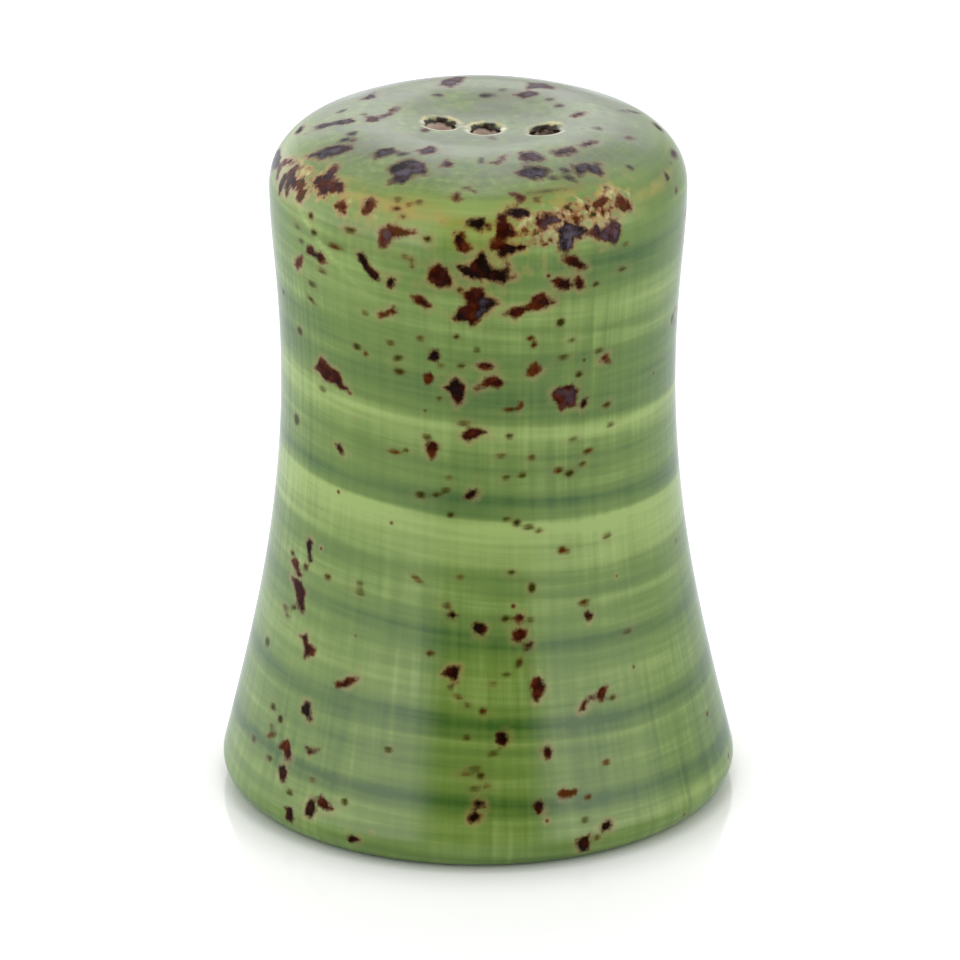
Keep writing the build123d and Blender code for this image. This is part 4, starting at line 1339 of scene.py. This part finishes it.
def flat_quads(sheet: tuple[float, ...], count: int, start: float, end: float) -> np.ndarray:
    """Lays a row of quads out in the flattened surface.

    Args:
        sheet: Left, width, low and height of the stretch that they belong to.
        count: How many quads run across it.
        start: Share of its height at which they start.
        end: Share at which they end.

    Returns:
        Four (u, v) corners for each quad.
    """
    left, width, low, height = sheet
    across = left + width * np.arange(count + 1) / count
    up = (low + height * start, low + height * end)
    corners = ((across[:-1], up[0]), (across[1:], up[0]), (across[1:], up[1]), (across[:-1], up[1]))
    return np.stack([np.column_stack([u, np.full(count, v)]) for u, v in corners], 1)


@dataclass(frozen=True)
class Shell:
    """The porcelain body: its sizes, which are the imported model's, and its mesh."""

    heel_diameter: float = 50.99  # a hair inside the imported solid
    heel_height: float = 2.4
    heel_radius: float = 2.6
    skirt_flare: float = 13.4
    side_heights: tuple[float, ...] = (21.1, 43.6, 53.1, 62.5)
    side_diameters: tuple[float, ...] = (42.9, 38.95, 39.8, 41.0)
    shoulder_radius: float = 5.4
    dome_radius: float = 43.3
    dish_drop: float = 2.45
    dish_radius: float = 50.0
    crest_radius: float = 15.0
    wall: float = 3.4
    floor_top: float = 7.2
    inner_corner_radius: float = 3.0
    foot_ring_width: float = 3.7
    foot_edge_radius: float = 0.7
    recess_depth: float = 3.2
    recess_draft: float = 1.0
    recess_corner_radius: float = 1.0
    filling_hole_diameter: float = 20.0
    filling_edge_radius: float = 0.5
    pour_hole_diameter: float = 2.8
    pour_rim_radius: float = 0.6
    pour_row: tuple[float, float] = (0.7, -1.6)
    pour_row_angle: float = -15.0
    pour_offsets: tuple[float, ...] = (-4.55, 0.0, 6.0)
    clay_shown: tuple[float, ...] = (1.15, 1.0, 0.65)  # how near its mouth each pour hole is bare
    columns: int = 304
    step: float = 0.39  # between the rows of the outside
    inner_step: float = 3.0  # and up the chamber
    patch_radius: float = 10.6  # middle of the top, meshed round the pour holes
    front_share: float = 0.28  # how much closer the columns stand at the front
    patch_spacing: float = 0.42  # between the points of that patch
    patch_margin: float = 0.25  # from its edge to its outermost ring of points
    foot_step: float = 0.12  # between the rows of the foot's rounding
    chamber_low: float = 2.0  # where the chamber's rows end, above the rounding of its floor
    bore_columns: int = 56  # points round a pour hole
    lip_rows: int = 8  # and down the rounding of its mouth

    @property
    def heel_centre(self) -> tuple[float, float]:
        """Centre of the heel's arc."""
        return self.heel_diameter / 2 - self.heel_radius, self.heel_height

    @property
    def foot_outer(self) -> float:
        """Radius at which the heel would meet the table."""
        return self.heel_centre[0] + math.sqrt(self.heel_radius**2 - self.heel_height**2)

    @property
    def shoulder_centre(self) -> tuple[float, float]:
        """Centre of the shoulder's arc."""
        return self.side_diameters[-1] / 2 - self.shoulder_radius, self.side_heights[-1]

    @property
    def dome_centre(self) -> float:
        """Height of the dome's centre."""
        r, z = self.shoulder_centre
        return z - math.sqrt((self.dome_radius - self.shoulder_radius) ** 2 - r**2)

    @property
    def dish_centre(self) -> float:
        """Height of the dish's centre."""
        return self.dome_centre + self.dome_radius - self.dish_drop + self.dish_radius

    @property
    def crest_centre(self) -> tuple[float, float]:
        """Centre of the arc between the dome and the dish.

        Returns:
            Its r and z.
        """
        to_dome = self.dome_radius - self.crest_radius
        to_dish = self.dish_radius + self.crest_radius
        apart = self.dish_centre - self.dome_centre
        up = (apart**2 + to_dome**2 - to_dish**2) / (2 * apart)
        return math.sqrt(to_dome**2 - up**2), self.dome_centre + up

    @property
    def pour_holes(self) -> list[tuple[float, float]]:
        """Centres of the pour holes."""
        angle = math.radians(self.pour_row_angle)
        x, y = self.pour_row
        return [(x + s * math.cos(angle), y + s * math.sin(angle)) for s in self.pour_offsets]

    def top_height(self, r: np.ndarray, inset: float = 0.0) -> np.ndarray:
        """Height of the dish and the crest, or of the surface that lies inset below them.

        Args:
            r: Distances from the axis, no further out than the crest.
            inset: How far below the outside, across the wall.

        Returns:
            The heights.
        """
        crest_r, crest_z = self.crest_centre
        meet = crest_r * (self.dish_radius + inset) / (self.dish_radius + self.crest_radius)
        dish = self.dish_centre - np.sqrt((self.dish_radius + inset) ** 2 - r**2)
        spread = np.maximum((self.crest_radius - inset) ** 2 - (r - crest_r) ** 2, 0)
        return np.where(r < meet, dish, crest_z + np.sqrt(spread))

    def side(self, start: tuple[float, float], inset: float) -> Spline:
        """The waisted side from its lower end up to the shoulder."""
        heights = np.array([start[1], *self.side_heights])
        radii = np.array([start[0], *(d / 2 - inset for d in self.side_diameters)])
        return Spline(heights, radii, -math.tan(math.radians(self.skirt_flare)), 0.0)

    def top_outline(self, inset: float, step: float) -> np.ndarray:
        """Shoulder, dome and crest from the side to the edge of the patch.

        Args:
            inset: How far inside the outer shape.
            step: Longest distance between two points.

        Returns:
            An array of (r, z) rows.
        """
        crest_r, crest_z = self.crest_centre
        shoulder_r, shoulder_z = self.shoulder_centre
        to_shoulder = math.atan2(shoulder_z - self.dome_centre, shoulder_r)
        to_crest = math.atan2(crest_z - self.dome_centre, crest_r)
        to_patch = math.acos((self.patch_radius - crest_r) / (self.crest_radius - inset))
        return np.concatenate([
            arc((shoulder_r, shoulder_z), self.shoulder_radius - inset, 0, to_shoulder, step)[:-1],
            arc((0, self.dome_centre), self.dome_radius - inset, to_shoulder, to_crest, step)[:-1],
            arc((crest_r, crest_z), self.crest_radius - inset, to_crest, to_patch, step),
        ])

    def inner_outline(self) -> np.ndarray:
        """The chamber, the floor, the filling hole and the recess, from the top's patch to the foot.

        Returns:
            An array of (r, z) rows.
        """
        flare = math.tan(math.radians(self.skirt_flare))
        low = self.floor_top + self.inner_corner_radius + self.chamber_low
        bottom_r = self.side_diameters[0] / 2 - self.wall + (self.side_heights[0] - self.floor_top) * flare
        side = self.side((bottom_r, self.floor_top), self.wall)
        count = round((self.side_heights[-1] - low) / self.inner_step)
        heights = np.linspace(self.side_heights[-1], low, count)[1:]
        mouth = self.foot_outer - self.foot_ring_width
        hole = self.filling_hole_diameter / 2
        low_r = float(side.at(np.array([low]))[0])
        corners = [
            (low_r, low, 0),
            (low_r + (low - self.floor_top) * flare, self.floor_top, self.inner_corner_radius),
            (hole, self.floor_top, self.filling_edge_radius),
            (hole, self.recess_depth, self.filling_edge_radius),
            (mouth - self.recess_draft, self.recess_depth, self.recess_corner_radius),
            (mouth, 0, self.foot_edge_radius),
            (*self.foot_fillet()[0], 0),
        ]
        return np.concatenate([
            self.top_outline(self.wall, self.inner_step / 2)[::-1],
            np.stack([side.at(heights), heights], 1)[:-1],
            rounded_path(corners, self.inner_step / 2)[:-1],
        ])

    def foot_fillet(self) -> np.ndarray:
        """Rounding between the table and the heel.

        Returns:
            An array of (r, z) rows.
        """
        edge = self.foot_edge_radius
        reach = math.sqrt((self.heel_radius - edge) ** 2 - (self.heel_height - edge) ** 2)
        centre_r = self.heel_centre[0] + reach
        end = math.atan2(edge - self.heel_height, centre_r - self.heel_centre[0])
        return arc((centre_r, edge), edge, -math.pi / 2, end, self.foot_step)

    def outer_outline(self) -> np.ndarray:
        """The outside from the foot to the top's patch.

        Returns:
            An array of (r, z) rows.
        """
        fillet = self.foot_fillet()
        start = math.atan2(fillet[-1, 1] - self.heel_height, fillet[-1, 0] - self.heel_centre[0])
        heel = arc(self.heel_centre, self.heel_radius, start, math.radians(self.skirt_flare), self.step)
        side = self.side(tuple(heel[-1]), 0)
        rise = self.side_heights[-1] - heel[-1, 1]
        heights = np.linspace(heel[-1, 1], self.side_heights[-1], round(rise / self.step) + 1)[1:-1]
        return np.concatenate([
            fillet[:-1],
            heel,
            np.stack([side.at(heights), heights], 1),
            self.top_outline(0, self.step),
        ])

    def hole_away(self, points: np.ndarray) -> np.ndarray:
        """Distance from each (x, y) to the nearest pour hole's axis."""
        return np.min([np.hypot(points[:, 0] - x, points[:, 1] - y) for x, y in self.pour_holes], 0)

    def angles(self) -> np.ndarray:
        """Direction of each column, in radians to the right of the front."""
        even = np.linspace(-math.pi, math.pi, self.columns, endpoint=False)
        return even - self.front_share * np.sin(even)

    def patch(self) -> tuple[np.ndarray, list[tuple[int, int, int]], list[list[int]]]:
        """Flat mesh of the top's middle, with rings round the pour holes.

        Returns:
            The (x, y) points, of which the first ring is the patch's edge and has a point for each
            column; the triangles; and the points of each hole's edge, in order.
        """
        angles = self.angles()
        points = list(np.stack([np.sin(angles), -np.cos(angles)], 1) * self.patch_radius)
        bore = self.pour_hole_diameter / 2
        outer = bore + self.pour_rim_radius
        ring = self.patch_radius - self.patch_margin
        while ring > 0:
            count = max(1, round(2 * math.pi * ring / self.patch_spacing))
            for i in range(count):
                turn = 2 * math.pi * (i + 0.5 * (count % 2)) / count
                point = np.array([ring * math.cos(turn), ring * math.sin(turn)])
                if self.hole_away(point[None])[0] > outer + 0.5 * self.patch_spacing:
                    points.append(point)
            ring -= self.patch_spacing
        edges = []
        turns = 2 * math.pi * np.arange(self.bore_columns) / self.bore_columns
        for x, y in self.pour_holes:
            for row in range(self.lip_rows + 1):
                reach = outer - self.pour_rim_radius * math.sin(math.pi / 2 * row / self.lip_rows)
                ring = np.stack([x + reach * np.cos(turns), y + reach * np.sin(turns)], 1)
                points.extend(ring)
            edges.append(list(range(len(points) - self.bore_columns, len(points))))
        flat = np.array(points)
        found = delaunay_2d_cdt([Vector(p) for p in flat], [], [], 0, 1e-7)
        where = np.array([found[3][i][0] for i in range(len(found[0]))])
        triangles = []
        for face in found[2]:
            a, b, c = (int(where[i]) for i in face)
            middle = (flat[a] + flat[b] + flat[c]) / 3
            if self.hole_away(middle[None])[0] > bore:
                triangles.append((a, b, c))
        return flat, triangles, edges

    def build(self) -> bpy.types.Object:
        """Makes the body's mesh, closed all round, with the pattern stored at its points.

        Returns:
            The object, whose faces carry the slot number of their Face.
        """
        draft = Draft()
        inner = self.inner_outline()
        outer = self.outer_outline()
        rows = np.concatenate([inner[:-1], outer])
        first_outer = len(inner) - 1
        turns = self.angles()
        around = np.stack([np.sin(turns), -np.cos(turns)], 1)
        for r, z in rows:
            draft.add_points(np.column_stack([around * r, np.full(self.columns, z)]))
        columns = self.columns
        for i in range(len(rows) - 1):
            here = np.arange(columns) + i * columns
            there = (np.arange(columns) + 1) % columns + i * columns
            quads = np.stack([here, there, there + columns, here + columns], 1)
            sheet, face, first, count = OUTSIDE_SHEET, Face.GLAZE, first_outer, len(outer) - 1
            if i < first_outer:
                on_foot = rows[i, 1] < self.foot_edge_radius + FLAT
                face = Face.CLAY if on_foot else Face.LINER
                sheet, first, count = INSIDE_SHEET, 0, first_outer
            spread = flat_quads(sheet, columns, (i - first) / count, (i + 1 - first) / count)
            draft.add_faces(quads, spread, face)
        self.add_top(draft, len(rows))
        made = draft.finish("porcelain_body")
        self.store_pattern(made, outer, first_outer)
        return made

    def add_top(self, draft: "Draft", row_count: int) -> None:
        """Closes the middle of the top, inside and outside, and joins the two by the pour holes.

        Args:
            draft: The mesh, with all its rows.
            row_count: How many rows it has.
        """
        flat, triangles, edges = self.patch()
        rim = self.columns
        away = self.hole_away(flat)
        r = np.hypot(flat[:, 0], flat[:, 1])
        outer_rim = self.pour_hole_diameter / 2 + self.pour_rim_radius
        lip = np.clip(outer_rim - away, 0, self.pour_rim_radius)
        sink = self.pour_rim_radius - np.sqrt(self.pour_rim_radius**2 - lip**2)
        corners = np.array(triangles)
        a, b, c = (flat[corners[:, i]] for i in range(3))
        area = (b[:, 0] - a[:, 0]) * (c[:, 1] - a[:, 1]) - (b[:, 1] - a[:, 1]) * (c[:, 0] - a[:, 0])
        corners[area < 0] = corners[area < 0][:, ::-1]
        numbers = []
        layers = (
            (0.0, sink, (row_count - 1) * rim, corners, OUTER_TOP_SHEET, Face.GLAZE),
            (self.wall, 0 * sink, 0, corners[:, ::-1], INNER_TOP_SHEET, Face.LINER),
        )
        for inset, lowered, ring_start, *_ in layers:
            raised = np.column_stack([flat, self.top_height(r, inset) - lowered])
            start = draft.add_points(raised[rim:])
            numbers.append(np.append(np.arange(rim) + ring_start, np.arange(len(flat) - rim) + start))
        for number, (*_, facing, (size, middle), face) in zip(numbers, layers):
            draft.add_faces(number[facing], (flat / self.patch_radius * size + middle)[facing], face)
        points = np.concatenate(draft.points)
        left, width, low, height = BORE_SHEET
        for hole, edge in enumerate(edges):
            top, bottom = numbers[0][edge], numbers[1][edge]
            count = len(edge)
            levels = [top]
            for share in BORE_LEVELS:
                between = points[top] * (1 - share) + points[bottom] * share
                levels.append(np.arange(count) + draft.add_points(between))
            levels.append(bottom)
            sheet = (left, width, low + BORE_SHEET_RISE * hole, height)
            strips = len(levels) - 1
            for k, (upper, lower) in enumerate(zip(levels, levels[1:])):
                quads = np.stack([upper, np.roll(upper, -1), np.roll(lower, -1), lower], 1)
                spread = flat_quads(sheet, count, 1 - k / strips, 1 - (k + 1) / strips)
                draft.add_faces(quads, spread, Face.GLAZE)

    def store_pattern(self, made: bpy.types.Object, outer: np.ndarray, first_outer: int) -> None:
        """Works out the pattern at the mesh's points and stores it there.

        Args:
            made: The body.
            outer: The (r, z) rows of the outside.
            first_outer: Number of the first of those rows in the mesh.
        """
        mesh = made.data
        places = np.zeros(len(mesh.vertices) * 3, np.float32)
        mesh.vertices.foreach_get("co", places)
        places = places.reshape(-1, 3).astype(float) / MM
        heel = int(np.argmin(abs(outer[:, 1] - self.heel_height)))
        lengths = np.concatenate([[0], np.cumsum(np.linalg.norm(np.diff(outer, axis=0), axis=1))])
        lengths += HEEL_ALONG - lengths[heel]
        along = np.full(len(places), lengths[-1])
        start = first_outer * self.columns
        row_points = len(outer) * self.columns
        along[start : start + row_points] = np.repeat(lengths, self.columns)
        r = np.hypot(places[:, 0], places[:, 1])
        patch = r < self.patch_radius - 0.01
        along[patch] = lengths[-1] + self.patch_radius - r[patch]
        side = outer[:, 1] < self.side_heights[-1] + TOP_ABOVE
        top_from = float(lengths[side][-1])
        glazed = np.zeros(len(places), bool)
        glazed[start:] = True
        azimuth = np.degrees(np.arctan2(places[:, 0], -places[:, 1]))
        pattern = Pattern(
            places[glazed, :2], azimuth[glazed], along[glazed],
            lambda s: np.interp(s, lengths, outer[:, 0]), top_from,
        )
        pattern.paint()
        outer_z = self.top_height(r)
        depth = np.where(patch & (places[:, 2] < outer_z - BORE_FROM), outer_z - places[:, 2], 0)
        near_hole = self.hole_away(places[:, :2]) - self.pour_hole_diameter / 2
        rear = np.zeros(len(places))
        for (x, y), clay in zip(self.pour_holes, self.clay_shown):
            here = np.hypot(places[:, 0] - x, places[:, 1] - y) < self.pour_hole_diameter
            depth[here] *= (1 - CLAY_LEAN * (places[here, 0] - x)) * clay
            rear[here] = (places[here, 1] - y) / self.pour_hole_diameter * 2
        rim = np.where(patch, np.where(depth > 0, -depth, near_hole), FAR)
        stored = {
            "along_mm": along[glazed],
            "fleck_mm": np.clip(pattern.distance, *FLECK_RANGE),
            "fleck_tone": pattern.tone,
            "fleck_strength": pattern.strength,
            "fleck_bloom": pattern.bloom,
            "fleck_ragged": pattern.ragged,
            "wash": pattern.washes(WASHES),
            "breaking": pattern.washes(BREAKS),
            "ridge": pattern.washes(RIDGE),
            "rim_mm": rim[glazed],
            "rim_back": rear[glazed],
        }
        for name, values in stored.items():
            everywhere = np.zeros(len(places), np.float32)
            everywhere[glazed] = values
            mesh.attributes.new(name, "FLOAT", "POINT").data.foreach_set("value", everywhere)
        LOG.info("%s: %d points, %d glazed", made.name, len(places), int(glazed.sum()))


@dataclass
class Draft:
    """A mesh in the making."""

    points: list[np.ndarray] = field(default_factory=list)
    faces: list[tuple[int, ...]] = field(default_factory=list)
    spread: list[np.ndarray] = field(default_factory=list)
    slots: list[int] = field(default_factory=list)

    def add_points(self, rows: np.ndarray) -> int:
        """Adds points and returns the number of the first one."""
        start = sum(len(p) for p in self.points)
        self.points.append(rows)
        return start

    def add_faces(self, corners: np.ndarray, spread: np.ndarray, face: Face) -> None:
        """Adds faces.

        Args:
            corners: Rows of vertex numbers.
            spread: Each corner's place in the flattened surface.
            face: Their material slot.
        """
        self.faces.extend(map(tuple, corners.tolist()))
        self.spread.append(spread.reshape(-1, 2))
        self.slots.extend([face.value] * len(corners))

    def finish(self, name: str) -> bpy.types.Object:
        """Turns the draft into an object.

        Args:
            name: The object's name.

        Returns:
            The object.
        """
        made = mesh_object(name, np.concatenate(self.points), self.faces)
        layer = made.data.uv_layers.new(name="OFBake")
        layer.data.foreach_set("uv", np.concatenate(self.spread).astype(np.float32).ravel())
        made.data.polygons.foreach_set("material_index", np.array(self.slots, np.int32))
        return made


# ---- Studio ---------------------------------------------------------------------------------


@dataclass(frozen=True)
class Studio:
    """A pale table in a white tent that is open towards the camera.

    Directions are degrees: to the right of the front, and up from level.
    """

    low_light: float = 1.78
    back_light: float = 0.8
    back_swing: float = 35.0  # how far the dimmer back stands round to the right
    back_turn: tuple[float, float] = (110.0, 150.0)  # over which the light fades to the back's
    middle_light: float = 1.1
    middle_rise: tuple[float, float] = (8.0, 32.0)
    top_light: float = 0.6
    top_rise: tuple[float, float] = (45.0, 75.0)
    panel_light: float = 1.85
    panel_left: float = -12.0  # edges of the white panel behind, to the left and right of the back
    panel_right: float = 15.0
    panel_bottom: float = 12.0
    panel_top: float = 68.0
    panel_edge: float = 11.0
    gap_light: float = 0.16
    gap_left: float = -24.5
    gap_right: float = 29.5
    gap_top: float = 60.0
    gap_edge: float = 10.0  # softness of the gap's edges
    table_front: float = 0.42
    table_back: float = 2.5
    table_half_width: float = 1.5
    table_drop: float = 0.02  # millimetres below the foot, so that they don't share a plane
    table_colour: str = "dde4ea"
    table_seen_colour: str = "ffffff"
    table_glow: float = 0.3
    table_haze: float = 250.0  # millimetres between its glossier and its duller places
    table_roughness: tuple[float, float] = (0.05, 0.08)
    table_ior: float = 1.45
    painted_shadow_reach: float = 10.0  # millimetres over which the glow fades towards the foot, a painted contact shadow
    painted_shadow_open: tuple[float, float] = (0.52, 0.88)  # shares of open air where the glow starts and is full, the ends of the painted shadow

    def world(self) -> None:
        """Lights the scene from all round, brightest from the sides, with white behind it."""
        world = bpy.data.worlds.new("tent")
        world.use_nodes = True
        bpy.context.scene.world = world
        world.node_tree.nodes.clear()
        graph = Graph(world.node_tree)
        toward = graph.add("TexCoord", out="Generated")
        right, back, up = graph.add("SeparateXYZ", toward).node.outputs
        front = graph.add("Math", back, -1.0, operation="MULTIPLY")
        degrees, across, height = (
            graph.add("Math", angle, math.degrees(1.0), operation="MULTIPLY")
            for angle in (
                graph.add("Math", right, front, operation="ARCTAN2"),
                graph.add("Math", right, back, operation="ARCTAN2"),
                graph.add("Math", up, operation="ARCSINE"),
            )
        )
        above = self.edge(graph, height, self.gap_top, self.gap_edge)
        below = graph.add("Math", 1.0, above, operation="SUBTRACT")
        gap = self.window(graph, degrees, self.gap_left, self.gap_right, self.gap_edge)
        gap = graph.add("Math", gap, below, operation="MULTIPLY")
        wide = self.window(graph, across, self.panel_left, self.panel_right, self.panel_edge)
        tall = self.window(graph, height, self.panel_bottom, self.panel_top, self.panel_edge)
        swung = graph.add("Math", degrees, self.back_swing, operation="ADD")
        off_front = graph.add("Math", swung, operation="ABSOLUTE")
        light = self.low_light
        for value, span, level in (
            (off_front, self.back_turn, self.back_light),
            (height, self.middle_rise, self.middle_light),
            (height, self.top_rise, self.top_light),
        ):
            share = graph.add("MapRange", value, *span, interpolation_type="SMOOTHSTEP")
            light = graph.add("Mix", {0: share, 2: light, 3: level})
        for share, level in (
            (gap, self.gap_light),
            (graph.add("Math", wide, tall, operation="MULTIPLY"), self.panel_light),
            (graph.add("LightPath", out="Is Camera Ray"), 1.0),
        ):
            light = graph.add("Mix", {0: share, 2: light, 3: level})
        shown = graph.add("Background", {"Color": "ffffff", "Strength": light})
        graph.feed(world.node_tree.nodes.new("ShaderNodeOutputWorld"), {"Surface": shown})

    def edge(self, graph: Graph, value: Socket, place: float, soft: float) -> Socket:
        """A smooth step from 0 to 1 at a place."""
        return graph.add("MapRange", value, place - soft, place + soft, interpolation_type="SMOOTHSTEP")

    def window(self, graph: Graph, value: Socket, start: float, end: float, soft: float) -> Socket:
        """One between start and end, with soft edges, and 0 elsewhere."""
        inside, beyond = (self.edge(graph, value, place, soft) for place in (start, end))
        return graph.add("Math", inside, beyond, operation="SUBTRACT")

    def table(self) -> bpy.types.Object:
        """Makes the glossy pale table.

        Returns:
            Its object.
        """
        x = self.table_half_width / MM
        front, back = -self.table_front / MM, self.table_back / MM
        z = -self.table_drop
        corners = np.array([(-x, front, z), (x, front, z), (x, back, z), (-x, back, z)], float)
        made = mesh_object("table", corners, [(0, 1, 2, 3)])
        made.data.materials.append(self.table_material())
        return made

    def table_material(self) -> bpy.types.Material:
        """White laminate, which glows a little for the camera so that it meets the background, and less so
        near the foot, where an ambient-occlusion mask cuts the glow into a painted contact shadow.

        Returns:
            The material.
        """
        material, graph, shader = new_material("white_table")
        seen = graph.add("LightPath", out="Is Camera Ray")
        # painted contact shadow: the glow is cut where ambient occlusion finds the foot near
        reach = {"Distance": self.painted_shadow_reach * MM}
        around = graph.add("AmbientOcclusion", reach, out="AO", samples=8)
        glow_outside_painted_shadow = graph.add("MapRange", around, *self.painted_shadow_open)
        glow = graph.add("Math", glow_outside_painted_shadow, self.table_glow, operation="MULTIPLY")
        haze = graph.add("TexNoise", {"Vector": graph.place, "Scale": 1 / self.table_haze})
        shades = {0: seen, 6: self.table_colour, 7: self.table_seen_colour}
        graph.feed(shader, {
            "Base Color": graph.add("Mix", shades, out=2, data_type="RGBA"),
            "Roughness": graph.add("MapRange", haze, 0.0, 1.0, *self.table_roughness),
            "Emission Strength": graph.add("Math", glow, seen, operation="MULTIPLY"),
            "Emission Color": "ffffff",
            "IOR": self.table_ior,
        })
        return material


@dataclass(frozen=True)
class Lens:
    """The camera: where it stands, what it looks at (millimetres) and how long its lens is."""

    place: tuple[float, float, float] = (0.168, -928.48, 402.48)
    target: tuple[float, float, float] = (0.168, 0.0, 31.114)
    focal_length: float = 378.5
    sensor: float = 36.0

    def build(self) -> bpy.types.Object:
        """Makes the camera and gives it to the scene.

        Returns:
            Its object.
        """
        data = bpy.data.cameras.new("camera")
        data.lens = self.focal_length
        data.sensor_width = self.sensor
        data.clip_start = 0.01
        camera = bpy.data.objects.new("camera", data)
        bpy.context.scene.collection.objects.link(camera)
        place, target = Vector(self.place) * MM, Vector(self.target) * MM
        turn = (target - place).to_track_quat("-Z", "Y").to_matrix().to_4x4()
        camera.matrix_world = Matrix.Translation(place) @ turn
        bpy.context.scene.camera = camera
        return camera


def dress_body() -> bpy.types.Object:
    """Replaces the body's solid by the glazed mesh.

    Returns:
        The mesh object.
    """
    body = Shell().build()
    for finish in (ReactiveGlaze(), LinerGlaze(), BareClay()):
        body.data.materials.append(finish.make())
    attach(body, "body")
    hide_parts("shaker_body")
    return body


def dress_stopper(frame: dict) -> bpy.types.Object:
    """Gives the stopper's solid its finish.


    Returns:
        The mesh object.
    """
    stopper = frame["nodes"]["base_stopper"]
    material = Silicone().make()
    if not stopper.data.materials:
        stopper.data.materials.append(material)
    for place in stopper.material_slots:
        place.material = material
    return stopper


def main() -> None:
    """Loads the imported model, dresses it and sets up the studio."""
    logging.basicConfig(level=logging.INFO)
    bpy.context.scene.view_settings.view_transform = "Standard"
    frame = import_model()
    studio = Studio()
    studio.world()
    for piece in (studio.table(), Lens().build(), dress_body(), dress_stopper(frame)):
        LOG.info("%s is in place", piece.name)


if __name__ == "__main__":
    main()
